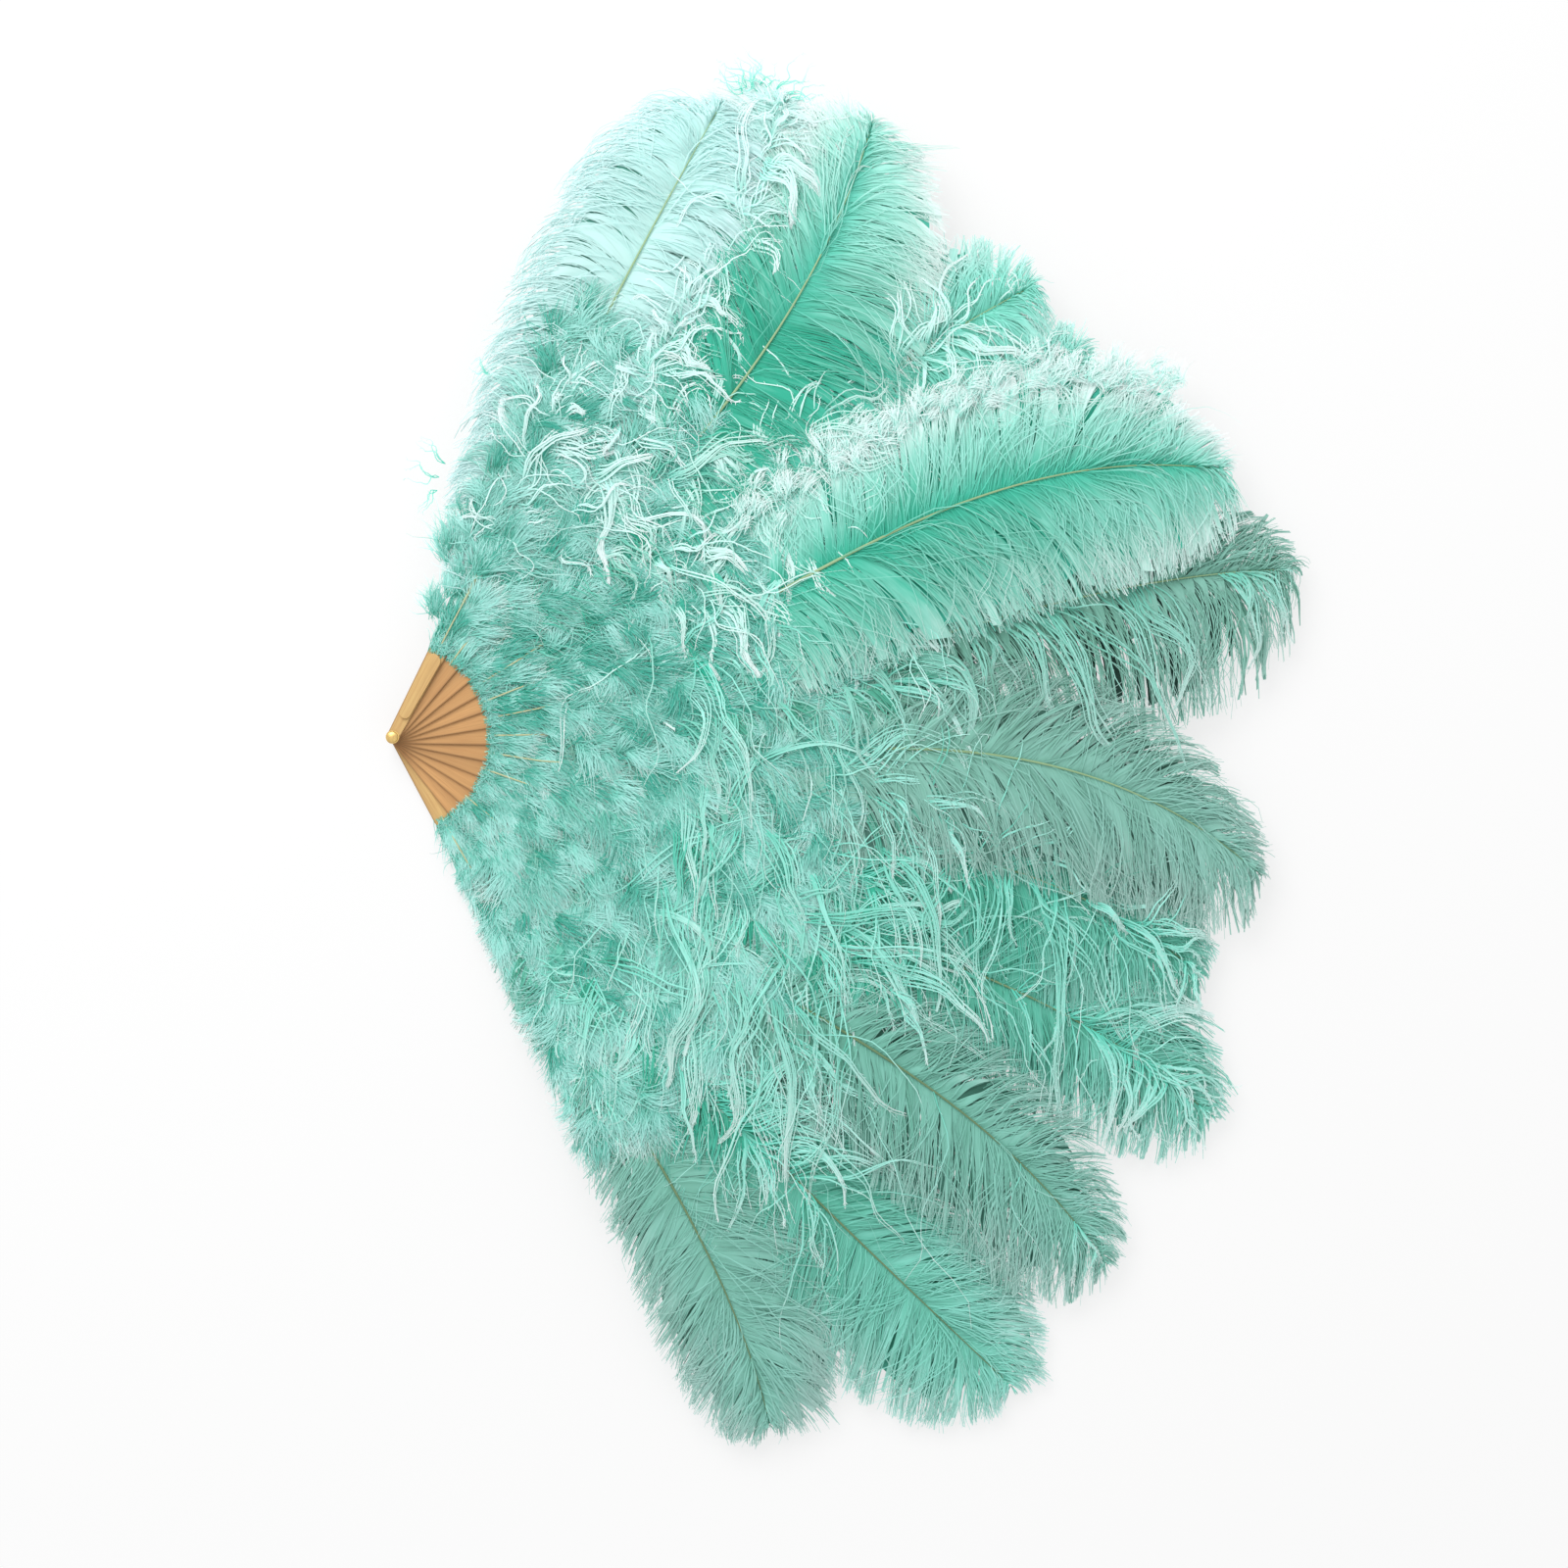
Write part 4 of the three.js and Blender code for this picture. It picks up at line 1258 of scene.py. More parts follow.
def down_strands(name, tuft, each, plumage, rng, steps=5):
    """The fine strands on each tuft."""
    table, fan = down_table(tuft, each)
    count = len(fan)
    x, y = (table[axis] + rng.normal(0, 3 * MM, count) for axis in "xy")
    table.update(
        x=x,
        y=y,
        heading=table["heading"] + rng.normal(0, 0.2, count),
        length=table["length"] * rng.uniform(0.75, 1.15, count),
        curl=table["curl"] + rng.normal(0, 0.4, count),
        hook=rng.normal(0, 0.4, count),
        wave=rng.uniform(0.2, 1.6, count),
        phase=rng.uniform(0, TURN, count),
        ripples=rng.uniform(3, 6, count),
        rise=table["rise"] * rng.uniform(0.95, 1.15, count),
        tip=rng.uniform(-1, 1.5, count) * MM,
        base=table["base"] + rng.uniform(0.2, 0.9, count) * MM,
        width=plumage.down_width * rng.uniform(0.6, 1.2, count),
        roll=rng.normal(0, 0.15, count),
        twist=rng.normal(0, 0.3, count),
        tone=table["tone"] + 0.08 + rng.normal(0, 0.17, count),
        lock=table["lock"] * 5 + rng.integers(0, 5, count),
        hold=rng.uniform(0.1, 0.6, count),
    )
    table = within_rear(table, steps)
    return ribbon_mesh(name, grown(table, steps), table)


# The length that a tuft's fine streaks are spread over, and the strands on each tuft of a crest
TUFT_LENGTH = 0.8
CREST_STRANDS = 16

# The share of a cuff's strands that lie inwards, and how many share a lock
CUFF_INWARD = 0.4
CUFF_LOCK = 4


def cuff(name, index, plumage, rng, steps=4):
    """Short strands that lie from the down onto the staves, and outwards."""
    blade = FRONT_BLADES[index]
    count = plumage.cuff_strands
    inward = rng.uniform(0, 1, count) < CUFF_INWARD
    radius = np.where(inward, rng.uniform(90, 99, count), rng.uniform(84, 128, count)) * MM
    angle = blade.angle + rng.uniform(-HALF_LEAF, HALF_LEAF, count)
    table = strands(
        count,
        x=radius * np.cos(angle),
        y=radius * np.sin(angle),
        heading=angle + np.where(inward, math.pi, 0) + rng.normal(0, 0.5, count),
        length=np.where(inward, rng.uniform(5, 13, count), rng.uniform(12, 34, count)) * MM,
        curl=rng.normal(0, 0.6, count),
        hook=rng.normal(0, 0.4, count),
        wave=rng.uniform(0.2, 1, count),
        phase=rng.uniform(0, TURN, count),
        ripples=rng.uniform(3, 8, count),
        rise=rng.uniform(0.5, 2.5, count) * MM,
        base=blade.bottom + rng.uniform(0.9, 3, count) * MM,
        width=0.9 * plumage.down_width,
        roll=rng.normal(0, 0.4, count),
        tone=0.68 + rng.normal(0, 0.14, count),
        lock=np.arange(count) // CUFF_LOCK,
        hold=0.3,
    )
    return ribbon_mesh(name, grown(table, steps), table)


# Colours from root to tip, each in its deepest and its palest form
BARB_DEEP = [(0.0, (0.03, 0.41, 0.27)), (0.4, (0.035, 0.46, 0.31)), (1.0, (0.1, 0.6, 0.46))]
BARB_PALE = [(0.0, (0.24, 0.78, 0.64)), (0.4, (0.34, 0.88, 0.76)), (1.0, (0.66, 0.98, 0.93))]
LOCK_DEEP = [(0.0, (0.02, 0.4, 0.25)), (0.4, (0.05, 0.54, 0.38)), (1.0, (0.2, 0.8, 0.66))]
LOCK_PALE = [(0.0, (0.14, 0.75, 0.59)), (0.4, (0.42, 0.94, 0.83)), (1.0, (0.84, 1.0, 0.98))]
LOCK_WHITE = [(0.0, (0.24, 0.82, 0.69)), (0.35, (0.68, 1.0, 0.94)), (1.0, (0.93, 1.0, 1.0))]
DOWN_DEEP = [(0.0, (0.03, 0.33, 0.22)), (0.5, (0.055, 0.45, 0.34)), (1.0, (0.18, 0.68, 0.57))]
DOWN_PALE = [(0.0, (0.15, 0.62, 0.5)), (0.5, (0.45, 0.87, 0.8)), (1.0, (0.86, 1.0, 0.98))]
CREST_VANE = [(0.0, (0.1, 0.62, 0.46)), (0.45, (0.4, 0.84, 0.74)), (1.0, (0.9, 1.0, 0.99))]
TIP_VANE = [(0.0, (0.14, 0.67, 0.53)), (0.4, (0.42, 0.86, 0.76)), (1.0, (0.88, 1.0, 0.98))]
SOFT_VANE = [(0.0, (0.36, 0.84, 0.74)), (0.4, (0.55, 0.9, 0.83)), (1.0, (0.9, 1.0, 0.99))]
CREST_DEEP = [(0.0, (0.12, 0.68, 0.53)), (0.5, (0.3, 0.86, 0.74)), (1.0, (0.6, 0.97, 0.9))]
CREST_PALE = [(0.0, (0.5, 0.95, 0.86)), (0.4, (0.8, 1.0, 0.97)), (1.0, (0.94, 1.0, 1.0))]
# The pale form of some long plumes' own barbs
PALE_VANES = {CRESTED: CREST_VANE, 10: TIP_VANE, 11: SOFT_VANE}


def lock_colours(index, part):
    """A leaf's own stops for its locks, which are whiter past the crested leaf."""
    return washed(LOCK_DEEP, index, part), washed(LOCK_WHITE if index > CRESTED else LOCK_PALE, index, part)


# Operators

# A stave's half width at the pivot's end and at its shoulder, and how far apart these are
END_HALF_WIDTH = 5.5 * MM
SHOULDER_HALF_WIDTH = 8.75 * MM
SHOULDER_DISTANCE = 92 * MM
# How much the staves' colours differ, and how far each one's fibres are shifted from the last one's
STAVE_SPREAD = 0.06
FIBRE_SHIFT = 0.37
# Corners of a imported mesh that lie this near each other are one
WELD = 0.01 * MM


def bevelled(piece, width):
    """Gives a piece's sharp edges a small bevel."""
    bevel = piece.modifiers.new("Bevel", "BEVEL")
    bevel.width = width
    bevel.segments = 2
    bevel.limit_method = "ANGLE"


def dress_node(node, material, bevel):
    """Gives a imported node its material, and its edges a small bevel."""
    piece = frame["nodes"][node]
    give_material(piece, material)
    piece.modifiers.new("Weld", "WELD").merge_threshold = WELD
    bevelled(piece, bevel)


class FEATHERFAN_OT_staves(bpy.types.Operator):
    """Gives the staves and the guards rounded edges and polished bamboo"""

    bl_idname = "feather_fan.dress_staves"
    bl_label = "Dress Staves"

    def execute(self, context):
        finish = settings_of(context).finish
        names = ["rear_guard"] + [f"stave_{two_digits(i)}" for i in range(2, LEAVES)] + ["front_guard"]
        slope = (SHOULDER_HALF_WIDTH - END_HALF_WIDTH) / SHOULDER_DISTANCE
        for index, (name, blade) in enumerate(zip(names, LONG_BLADES)):
            colour = finish.guard_colour if "guard" in name else finish.bamboo_colour
            colour = dimmed(colour, 1 + STAVE_SPREAD * math.sin(7.3 * index))
            material = bamboo_material(
                "Bamboo_" + name, blade.angle, slope, END_HALF_WIDTH, colour, tuple(finish.grain_colour),
                FIBRE_SHIFT * index,
            )
            dress_node(name, material, finish.edge_round)
        return {"FINISHED"}


# Steps of a turned piece, the turn that its smooth edges make at most, and the bevel on its edges
TURNED_STEPS = 96
SMOOTH_ANGLE = math.radians(35)
PIVOT_BEVEL = 0.15 * MM


def turned_outline(node):
    """A round node's outline: how far from the axis and how high its corners lie, in order."""
    points = node_points(node)
    radius = polar(points)[0]
    outline = []
    for level in np.unique(np.round(points[:, 2], 5)):
        here = radius[np.abs(points[:, 2] - level) < 0.02 * MM]
        outline.append((here.min(), here.max(), level))
    (bore, shank, bottom), top = outline[0], outline[-1][2]
    if len(outline) == 2:
        # A washer: its bore and its rim
        return [(bore, bottom), (shank, bottom), (shank, top), (bore, top)]
    # A bolt: its shank, then the underside of its head, then the dome
    head = [(rim, level) for _, rim, level in outline[1:]]
    return [(0, bottom), (shank, bottom), (shank, head[0][1])] + head + [(0, top)]


def turned(name, node):
    """A round piece with its node's outline, turned about the pivot's axis."""
    corners, rings, faces = [], [], []
    for radius, height in turned_outline(node):
        steps = TURNED_STEPS if radius else 1
        rings.append([len(corners) + step % steps for step in range(TURNED_STEPS + 1)])
        spokes = [radius * direction(TURN * step / TURNED_STEPS) for step in range(steps)]
        corners += [(x, y, height) for x, y in spokes]
    for low, high in zip(rings, rings[1:] + rings[:1]):
        for step in range(TURNED_STEPS):
            # A ring on the axis is one corner, and no face lies between the two of a bolt
            face = dict.fromkeys((low[step], low[step + 1], high[step + 1], high[step]))
            if len(face) > 2:
                faces.append(tuple(face))
    mesh = bpy.data.meshes.new(name)
    mesh.from_pydata(corners, [], faces)
    piece = bpy.data.objects.new(name, mesh)
    bpy.context.scene.collection.objects.link(piece)
    select_only(piece)
    bpy.ops.object.shade_smooth_by_angle(angle=SMOOTH_ANGLE)
    return piece


class FEATHERFAN_OT_pivot(bpy.types.Operator):
    """Adds the pivot's bolt and washers, and gives them and the nut worn brass"""

    bl_idname = "feather_fan.dress_pivot"
    bl_label = "Dress Pivot"

    def execute(self, context):
        material = brass_material(settings_of(context).finish)
        for node in ("pivot_bolt", "rear_washer", "front_washer"):
            piece = turned("turned_" + node.removeprefix("pivot_"), node)
            bevelled(piece, PIVOT_BEVEL)
            finish_piece(piece, leaf_name(0), "pivot_brass", material, node)
        dress_node("pivot_nut", material, PIVOT_BEVEL)
        return {"FINISHED"}


# A link's thickness, and how much its satin ripples
SATIN_THICKNESS = 0.3 * MM
SATIN_RIPPLE = 0.08 * MM


def ribbon_link(name, node):
    """A strip of satin in the place of its node, curved about the pivot, with raised edges."""
    points = node_points(node)
    radius, angle = polar(points)
    bpy.ops.object.select_all(action="DESELECT")
    bpy.ops.mesh.primitive_grid_add(x_subdivisions=48, y_subdivisions=8, size=2)
    piece = bpy.context.object
    piece.name = name
    flat = np.array([vertex.co[:] for vertex in piece.data.vertices])
    along, across = (flat[:, 0] + 1) / 2, (flat[:, 1] + 1) / 2
    distance = radius.min() + across * (radius.max() - radius.min())
    turn = angle.min() + along * (angle.max() - angle.min())
    middle = (points[:, 2].min() + points[:, 2].max()) / 2
    height = middle + SATIN_RIPPLE * (np.sin(34 * along + 2 * across) + 1.5 * np.abs(2 * across - 1) ** 6)
    shaped = np.stack((distance * np.cos(turn), distance * np.sin(turn), height), -1)
    piece.data.vertices.foreach_set("co", shaped.astype(np.float32).ravel())
    piece.data.update()
    thickness = piece.modifiers.new("Thickness", "SOLIDIFY")
    thickness.thickness = SATIN_THICKNESS
    thickness.offset = 0
    bpy.ops.object.shade_smooth()
    return piece


class FEATHERFAN_OT_ribbons(bpy.types.Operator):
    """Adds the satin links between the staves"""

    bl_idname = "feather_fan.add_ribbons"
    bl_label = "Add Ribbons"

    def execute(self, context):
        material = satin_material(settings_of(context).finish)
        for index in range(LEAVES - 1):
            number = two_digits(index + 1)
            piece = ribbon_link("satin_link_" + number, "ribbon_" + number)
            finish_piece(piece, leaf_name(index), "ribbon_satin", material, "ribbon_" + number)
        return {"FINISHED"}


# Where a shaft ends, as a share of the vane, and where it does on some long plumes
QUILL_END = 0.97
LONG_QUILL_ENDS = {11: 0.85}
QUILL_STEPS = 52
# How high a shaft stands over its blade's rear face, and how much it rises within this share of its length
QUILL_BASE = 1.2 * MM
QUILL_RISE = 1.6 * MM
QUILL_RISEN = 0.1
# A shaft's thickness against its width, and how much of its width it loses up to its tip
QUILL_SECTION = 0.45
QUILL_TAPER = 0.8
# The shafts that show over the down start this far from the pivot, and bow by this much
QUILL_START = 84 * MM
QUILL_BOW = 4.2 * MM
# How far behind its front ridge the rear ridge of the other shafts lies
QUILL_DEPTH = 5.2 * MM


def quill(name, blade, width, end, shows_to=0.0, lift=0.0):
    """A tapered shaft with an oval section, from its slot to near the plume's tip."""
    start = QUILL_START if shows_to else blade.radii[0]
    radius = np.linspace(start, blade.radius_at(end), QUILL_STEPS)
    share = np.linspace(0, 1, QUILL_STEPS)
    straight = radius < blade.start
    spot = blade.spine(radius)
    spot[straight] = radius[straight, None] * direction(blade.angle)
    risen = smooth(share / QUILL_RISEN)
    height = blade.bottom + QUILL_BASE + arch(radius) + risen * QUILL_RISE
    if shows_to:
        height += np.sin(math.pi * np.clip((radius - start) / (shows_to - start), 0, 1)) * QUILL_BOW
    height += lift * lifted(radius)
    bpy.ops.object.select_all(action="DESELECT")
    bpy.ops.curve.primitive_bezier_circle_add(radius=width / 2)
    section = bpy.context.object
    section.scale = (1, QUILL_SECTION, 1)
    bpy.ops.object.transform_apply(location=False, rotation=False, scale=True)
    section.data.resolution_u = 3
    shaft = bpy.data.curves.new(name, "CURVE")
    shaft.dimensions = "3D"
    shaft.twist_mode = "Z_UP"
    shaft.bevel_mode = "OBJECT"
    shaft.bevel_object = section
    shaft.use_fill_caps = True
    # The front ridge of the shaft, and the rear one, which stands out behind the vane
    for depth in (0,) if shows_to else (0, QUILL_DEPTH):
        line = shaft.splines.new("POLY")
        line.points.add(QUILL_STEPS - 1)
        for point, (x, y), z, along in zip(line.points, spot, height - depth * risen, share):
            point.co = (x, y, max(z, LOWEST + width / 4), 1)
            point.radius = 1 - QUILL_TAPER * along ** (0.6 if shows_to else 1.3)
    piece = bpy.data.objects.new(name, shaft)
    bpy.context.scene.collection.objects.link(piece)
    select_only(piece)
    bpy.ops.object.convert(target="MESH")
    piece.data.shade_smooth()
    bpy.data.objects.remove(section)
    return piece


class FEATHERFAN_OT_quills(bpy.types.Operator):
    """Adds the shafts of all the plumes"""

    bl_idname = "feather_fan.add_quills"
    bl_label = "Add Quills"

    def execute(self, context):
        finish = settings_of(context).finish
        material = quill_material(finish)
        for index, (long_blade, front_blade) in enumerate(zip(LONG_BLADES, FRONT_BLADES)):
            number = two_digits(index + 1)
            end = LONG_QUILL_ENDS.get(index, QUILL_END)
            piece = quill("long_quill_" + number, long_blade, finish.long_quill_width, end, lift=LIFT[index])
            finish_piece(piece, leaf_name(index), "long_plume", material)
            shows_to = BASE_QUILLS.get(index, 0) * MM
            piece = quill("front_quill_" + number, front_blade, finish.quill_width, QUILL_END, shows_to)
            finish_piece(piece, leaf_name(index), "front_plume", material)
        return {"FINISHED"}


def grow_long_plume(index, blade, plumage):
    """Adds one long plume's bed, vane, barbs and locks, and its crest where it has one."""
    rng = np.random.default_rng([SEED, LONG, index])
    number = two_digits(index + 1)
    add = partial(add_piece, leaf_name(index), "long_plume")
    front_light = FRONT_LIGHT.get(index, 0)
    sides = zip(DROOP, LEAN, EDGE, (0, front_light))
    looks = [(droop[index], lean[index], edge[index] * MM, light) for droop, lean, edge, light in sides]
    shade_bed, sheet, singles, locks, back = long_coats(index, plumage)
    colours = washed(BARB_DEEP, index), washed(PALE_VANES.get(index, BARB_PALE), index)
    barb_look = feather_material("Long_Barbs_" + number, *colours)
    # The bed's colours are the deep barb colours dimmed into painted shade, and darker still on open plumes;
    # on the last leaves they take less of the pale wash
    shade_bed_colours = washed(BARB_DEEP, index, 0.4) if index >= LEAVES - PAINTED_LIGHT_LEAVES else colours[0]
    shade = BED_PAINTED_SHADE[index]
    shade_bed_colours = dimmed_stops(shade_bed_colours, shade), dimmed_stops(shade_bed_colours, (1 + shade) / 2)
    shade_bed_light = 0.4 * (1 - OPENNESS.get(index, 0))
    shade_bed_look = sheet_material("Long_Painted_Shade_Bed_" + number, *shade_bed_colours, shade_bed_light, blade.span)
    lights = TIP_LIGHT[index], front_light
    vane_look = sheet_material("Long_Vane_" + number, *colours, LEAF_LIGHT[index], blade.span, *lights)
    growth = (rng, LONG, index)
    add(vane_sheet("long_painted_shade_bed_" + number, blade, shade_bed, looks, 7, *growth), shade_bed_look)
    add(vane_sheet("long_sheet_" + number, blade, sheet, looks, 9, *growth), vane_look, "plume_" + number)
    add(vane_barbs("long_barbs_" + number, blade, singles, looks, 8, *growth), barb_look)
    add(vane_barbs("long_back_" + number, blade, back, looks, 7, *growth), barb_look)
    if locks:
        lock_look = feather_material("Long_Locks_" + number, *lock_colours(index, 0.6))
        locked = LOCK_SIDES.get(index, (-1, 1))
        add(hanging_locks("long_locks_" + number, blade, locks, looks, 15, *growth, sides=locked), lock_look)
    if index == CRESTED:
        tuft = crest(blade, LIFT[index], rng)
        petal_look = sheet_material("Crest_Tufts", CREST_DEEP, CREST_PALE, None, TUFT_LENGTH)
        add(down_petals("crest_tufts_" + number, tuft), petal_look)
        strand_look = feather_material("Crest", CREST_DEEP, CREST_PALE)
        add(down_strands("crest_strands_" + number, tuft, CREST_STRANDS, plumage, rng), strand_look)


class FEATHERFAN_OT_long_plumes(bpy.types.Operator):
    """Grows the vanes of the long plumes"""

    bl_idname = "feather_fan.grow_long_plumes"
    bl_label = "Grow Long Plumes"

    def execute(self, context):
        for index, blade in enumerate(LONG_BLADES):
            grow_long_plume(index, blade, settings_of(context).plumage)
        return {"FINISHED"}


def grow_front_plume(index, blade, plumage):
    """Adds one front plume's vane, soft barbs and curled locks."""
    growth = (np.random.default_rng([SEED, FRONT, index]), FRONT, index)
    number = two_digits(index + 1)
    add = partial(add_piece, leaf_name(index), "front_plume")
    sheet, singles, locks = front_coats(index, plumage)
    colours = washed(BARB_DEEP, index, 0.5), washed(BARB_PALE, index, 0.5)
    vane_look = sheet_material("Front_Vane_" + number, *colours, front_plume_light(index) - 0.3, blade.span)
    barb_look = feather_material("Front_Barbs_" + number, *colours)
    lock_look = feather_material("Front_Locks_" + number, *lock_colours(index, 0.3))
    vane = vane_sheet("front_sheet_" + number, blade, sheet, EVEN_LOOKS, 9, *growth)
    add(vane, vane_look, "front_plume_" + number)
    add(vane_barbs("front_barbs_" + number, blade, singles, EVEN_LOOKS, 8, *growth), barb_look)
    add(hanging_locks("front_locks_" + number, blade, locks, EVEN_LOOKS, 15, *growth), lock_look)


class FEATHERFAN_OT_front_plumes(bpy.types.Operator):
    """Grows the soft vanes and the curled locks of the front plumes"""

    bl_idname = "feather_fan.grow_front_plumes"
    bl_label = "Grow Front Plumes"

    def execute(self, context):
        for index, blade in enumerate(FRONT_BLADES):
            grow_front_plume(index, blade, settings_of(context).plumage)
        return {"FINISHED"}


# Loose strands that leave the outline, by leaf: the root's place in millimetres, the heading in degrees and
# the length in millimetres
WISPS = {
    11: (
        (322, 588, 132, 68), (326, 594, 118, 58), (330, 592, 104, 60), (338, 596, 88, 50),
        (344, 594, 74, 54), (352, 590, 60, 66), (358, 586, 48, 72), (366, 584, 38, 50), (336, 590, 148, 66),
    ),
    12: ((44, 238, 186, 52), (50, 250, 168, 44), (42, 226, 204, 48), (92, 330, 176, 34)),
}
# Each one is split into this many
WISP_SPLIT = 3


def wisp_table(index, rng):
    """The loose strands of one leaf, with those of one root in one lock."""
    x, y, heading, length = np.repeat(WISPS[index], WISP_SPLIT, axis=0).T
    count = len(x)
    return strands(
        count,
        x=x * MM,
        y=y * MM,
        heading=np.radians(heading) + rng.normal(0, 0.12, count),
        length=length * MM * rng.uniform(0.6, 1.05, count),
        hook=rng.normal(0, 0.7, count),
        wave=6.0,
        phase=rng.uniform(0, TURN, count),
        ripples=rng.uniform(6, 10, count),
        rise=3 * MM,
        base=LONG_BLADES[index].bottom + 2 * MM,
        width=1.0 * MM,
        tone=0.85,
        lock=np.arange(count) // WISP_SPLIT,
        hold=0.4,
    )


class FEATHERFAN_OT_wisps(bpy.types.Operator):
    """Adds the loose strands that leave the outline of the fan"""

    bl_idname = "feather_fan.add_wisps"
    bl_label = "Add Wisps"

    def execute(self, context):
        material = feather_material("Wisps", LOCK_DEEP, LOCK_PALE)
        for index in WISPS:
            rng = np.random.default_rng([SEED, LONG, DOWN, index + 1])
            table = wisp_table(index, rng)
            mesh = ribbon_mesh("wisps_" + two_digits(index + 1), grown(table, 12), table, 0.4, 6, rng)
            add_piece(leaf_name(index), "long_plume", mesh, material)
        return {"FINISHED"}


class FEATHERFAN_OT_down(bpy.types.Operator):
    """Grows the down that covers the ends of the staves"""

    bl_idname = "feather_fan.grow_down"
    bl_label = "Grow Down"

    def execute(self, context):
        plumage = settings_of(context).plumage
        strand_look = feather_material("Down", DOWN_DEEP, DOWN_PALE)
        petal_look = sheet_material("Down_Tufts", DOWN_DEEP, DOWN_PALE, None, TUFT_LENGTH)
        for index, blade in enumerate(FRONT_BLADES):
            rng = np.random.default_rng([SEED, DOWN, index])
            number = two_digits(index + 1)
            add = partial(add_piece, leaf_name(index), "front_plume")
            tuft = tufts(index, plumage, rng)
            add(down_ground("down_ground_" + number, blade), petal_look)
            add(down_petals("down_tufts_" + number, tuft), petal_look)
            add(down_strands("down_strands_" + number, tuft, plumage.down_strands, plumage, rng), strand_look)
            add(cuff("down_cuff_" + number, index, plumage, rng), strand_look)
        return {"FINISHED"}


# The middle of the picture on the floor, the camera's lens and reach, and how wide the floor is
PICTURE_MIDDLE = (0.360, -0.0432, 0)
LENS_MM = 85
CAMERA_REACH = 30
FLOOR_SIZE = 14
# Where the lamp stands, what it points at, and how wide it is
LAMP_PLACE = (-0.7, 1.9, 2.3)
LAMP_AIM = Vector((0.35, 0.0, 0.04))
LAMP_WIDTH = 2.4


class FEATHERFAN_OT_stage(bpy.types.Operator):
    """Adds the floor, the soft light and the camera"""

    bl_idname = "feather_fan.set_stage"
    bl_label = "Set Stage"

    def execute(self, context):
        stage = settings_of(context).stage
        bpy.ops.object.select_all(action="DESELECT")
        bpy.ops.mesh.primitive_plane_add(size=FLOOR_SIZE, location=PICTURE_MIDDLE)
        floor = context.object
        floor.name = "floor"
        floor.data.materials.append(floor_material())
        bpy.ops.object.light_add(type="AREA", location=LAMP_PLACE)
        lamp = context.object
        lamp.name = "soft_lamp"
        lamp.data.shape = "DISK"
        lamp.data.size = LAMP_WIDTH
        lamp.data.energy = stage.lamp_power
        lamp.rotation_euler = (LAMP_AIM - lamp.location).to_track_quat("-Z", "Y").to_euler()
        context.scene.world = white_sky(stage.sky_strength)
        bpy.ops.object.camera_add(location=(*PICTURE_MIDDLE[:2], stage.camera_height))
        camera = context.object
        camera.name = "camera"
        camera.data.lens = LENS_MM
        camera.data.clip_end = CAMERA_REACH
        context.scene.camera = camera
        context.scene.view_settings.view_transform = "Standard"
        return {"FINISHED"}


def white_sky(strength):
    """A world that lights the fan evenly, and is plain white where the camera or a reflection sees it."""
    world = bpy.data.worlds.new("Sky")
    world.use_nodes = True
    tree = world.node_tree
    light = tree.nodes["Background"]
    light.inputs["Strength"].default_value = strength
    behind = tree.nodes.new("ShaderNodeBackground")
    for background in (light, behind):
        background.inputs["Color"].default_value = (1, 1, 1, 1)
    path = tree.nodes.new("ShaderNodeLightPath")
    mix = tree.nodes.new("ShaderNodeMixShader")
    seen = path.outputs["Is Camera Ray"]
    for name in ("Is Glossy Ray", "Is Transmission Ray"):
        either = tree.nodes.new("ShaderNodeMath")
        either.operation = "MAXIMUM"
        tree.links.new(seen, either.inputs[0])
        tree.links.new(path.outputs[name], either.inputs[1])
        seen = either.outputs["Value"]
    tree.links.new(seen, mix.inputs["Fac"])
    tree.links.new(light.outputs["Background"], mix.inputs[1])
    tree.links.new(behind.outputs["Background"], mix.inputs[2])
    tree.links.new(mix.outputs["Shader"], tree.nodes["World Output"].inputs["Surface"])
    return world


# The share of plain white in what the camera sees of the floor. The rest takes the fan's shadow.
FLOOR_GLOW = 0.72


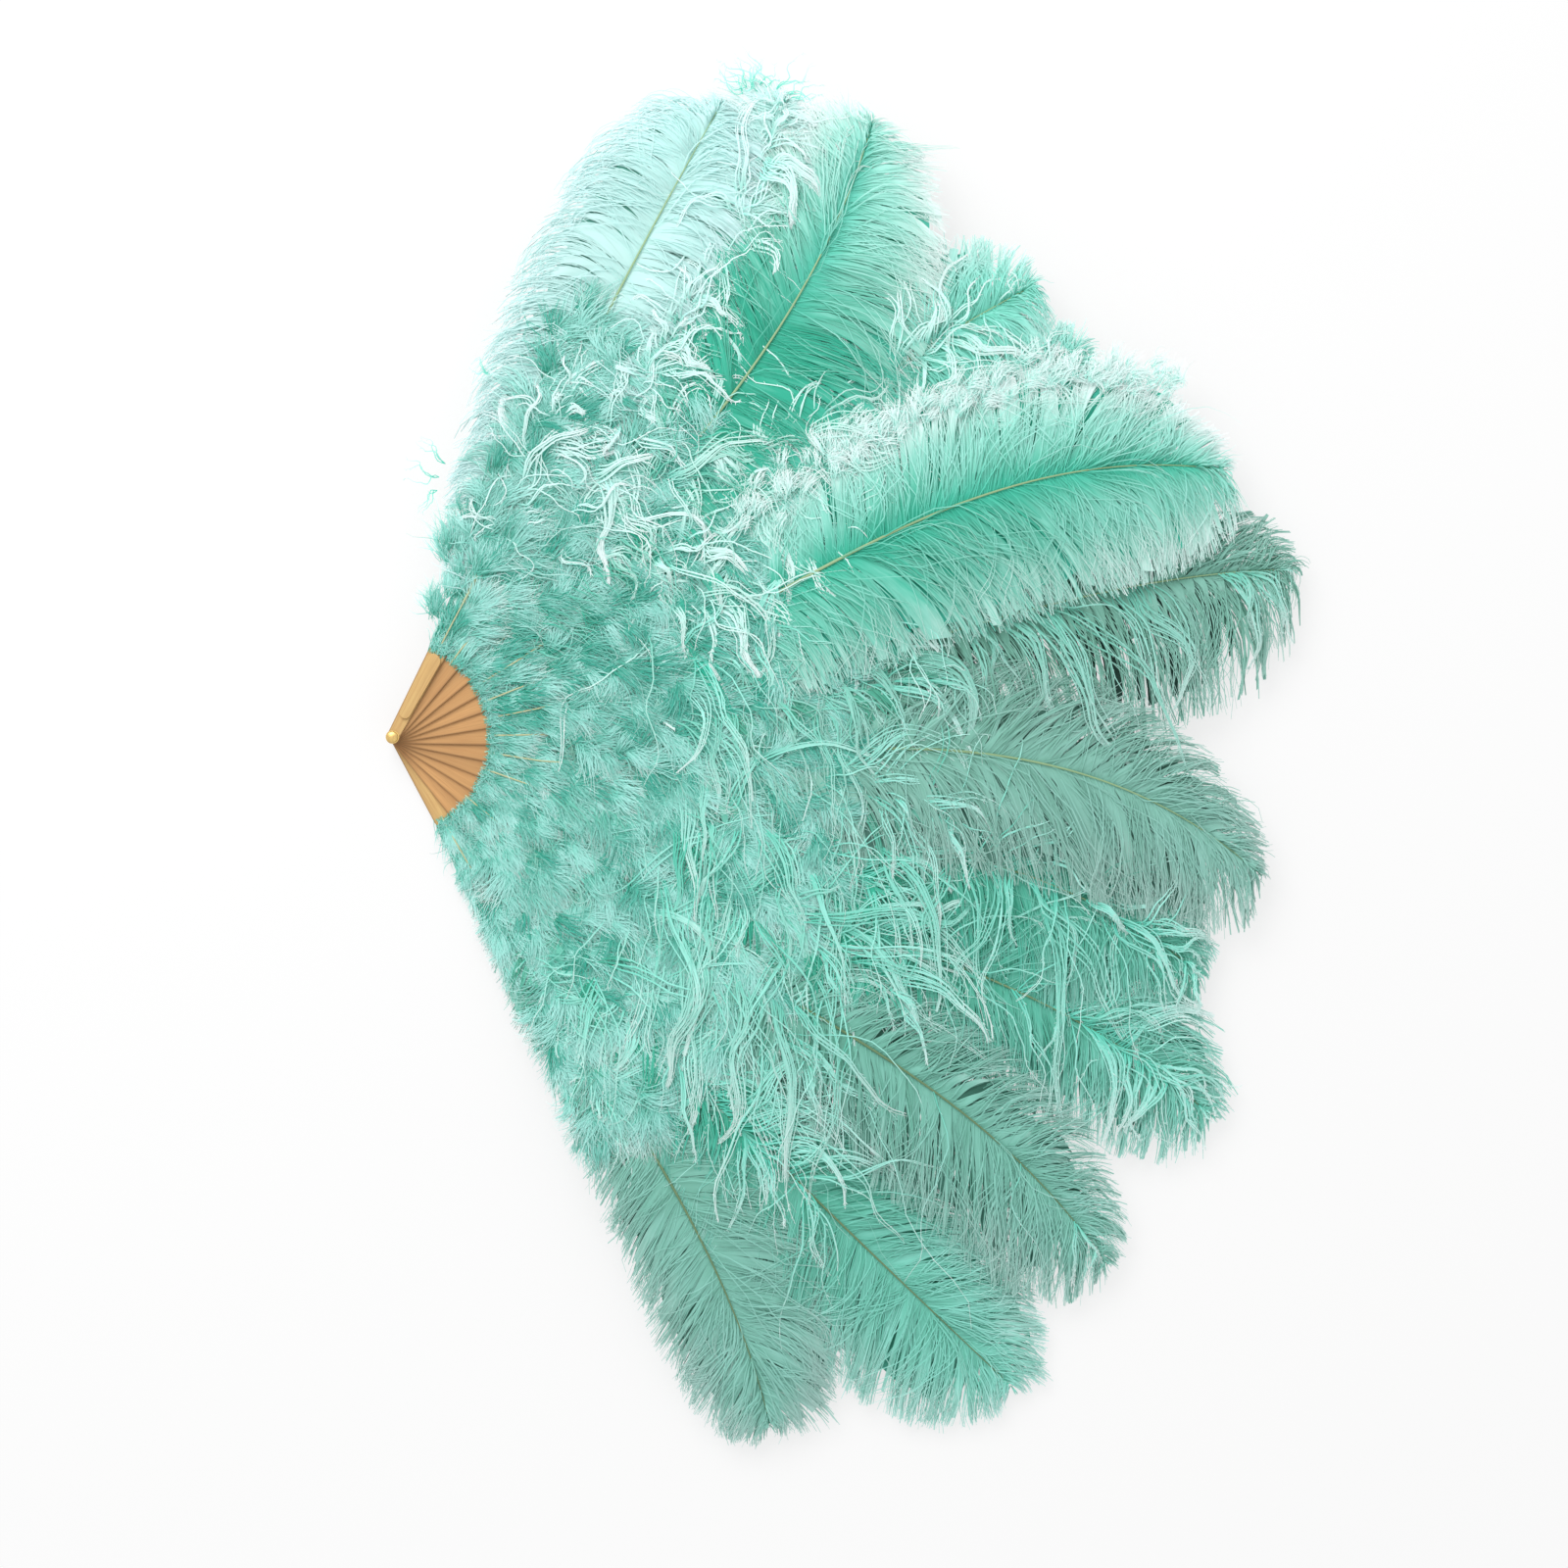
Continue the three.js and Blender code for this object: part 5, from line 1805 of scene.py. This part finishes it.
def floor_material():
    """White for the camera and for reflections, and still darker where the fan's shadow falls."""
    recipe = Recipe("Floor", base_color=(0.9, 0.9, 0.9), roughness=0.9, specular_ior_level=0.0)
    path = recipe.tree.nodes.new("ShaderNodeLightPath")
    rays = ("Is Camera Ray", "Is Glossy Ray", "Is Transmission Ray")
    camera, glossy, through = (Signal(recipe, path.outputs[name]) for name in rays)
    glow = recipe.node("ShaderNodeEmission", {}, {"Strength": 1.0})
    lit = Signal(recipe, recipe.shader.outputs["BSDF"])
    seen = (camera + glossy + through).between(0, 1) * FLOOR_GLOW
    mix = recipe.node("ShaderNodeMixShader", {}, {"Fac": seen, 1: lit, 2: glow})
    recipe.feed(recipe.output.inputs["Surface"], mix)
    return recipe.material


class FEATHERFAN_PT_panel(bpy.types.Panel):
    """Lists the settings and the steps of the fan"""

    bl_idname = "FEATHERFAN_PT_panel"
    bl_label = "Feather Fan"
    bl_space_type = "VIEW_3D"
    bl_region_type = "UI"
    bl_category = "Feather Fan"

    def draw(self, context):
        settings = settings_of(context)
        for group in (settings.finish, settings.plumage, settings.stage):
            box = self.layout.box()
            for name in group.__annotations__:
                box.prop(group, name)
        for operator in OPERATORS:
            self.layout.operator(operator.bl_idname)


OPERATORS = (
    FEATHERFAN_OT_stage,
    FEATHERFAN_OT_staves,
    FEATHERFAN_OT_pivot,
    FEATHERFAN_OT_ribbons,
    FEATHERFAN_OT_quills,
    FEATHERFAN_OT_long_plumes,
    FEATHERFAN_OT_front_plumes,
    FEATHERFAN_OT_wisps,
    FEATHERFAN_OT_down,
)
GROUPS = (FeatherFanFinish, FeatherFanPlumage, FeatherFanStage, FeatherFanSettings)
CLASSES = (*GROUPS, *OPERATORS, FEATHERFAN_PT_panel)


def register():
    for cls in CLASSES:
        bpy.utils.register_class(cls)
    bpy.types.Scene.feather_fan = PointerProperty(type=FeatherFanSettings)


def unregister():
    del bpy.types.Scene.feather_fan
    for cls in reversed(CLASSES):
        bpy.utils.unregister_class(cls)


def main():
    register()
    bpy.ops.feather_fan.set_stage()
    bpy.ops.feather_fan.dress_staves()
    bpy.ops.feather_fan.dress_pivot()
    bpy.ops.feather_fan.add_ribbons()
    bpy.ops.feather_fan.add_quills()
    bpy.ops.feather_fan.grow_long_plumes()
    bpy.ops.feather_fan.grow_front_plumes()
    bpy.ops.feather_fan.add_wisps()
    bpy.ops.feather_fan.grow_down()


if __name__ == "__main__":
    main()
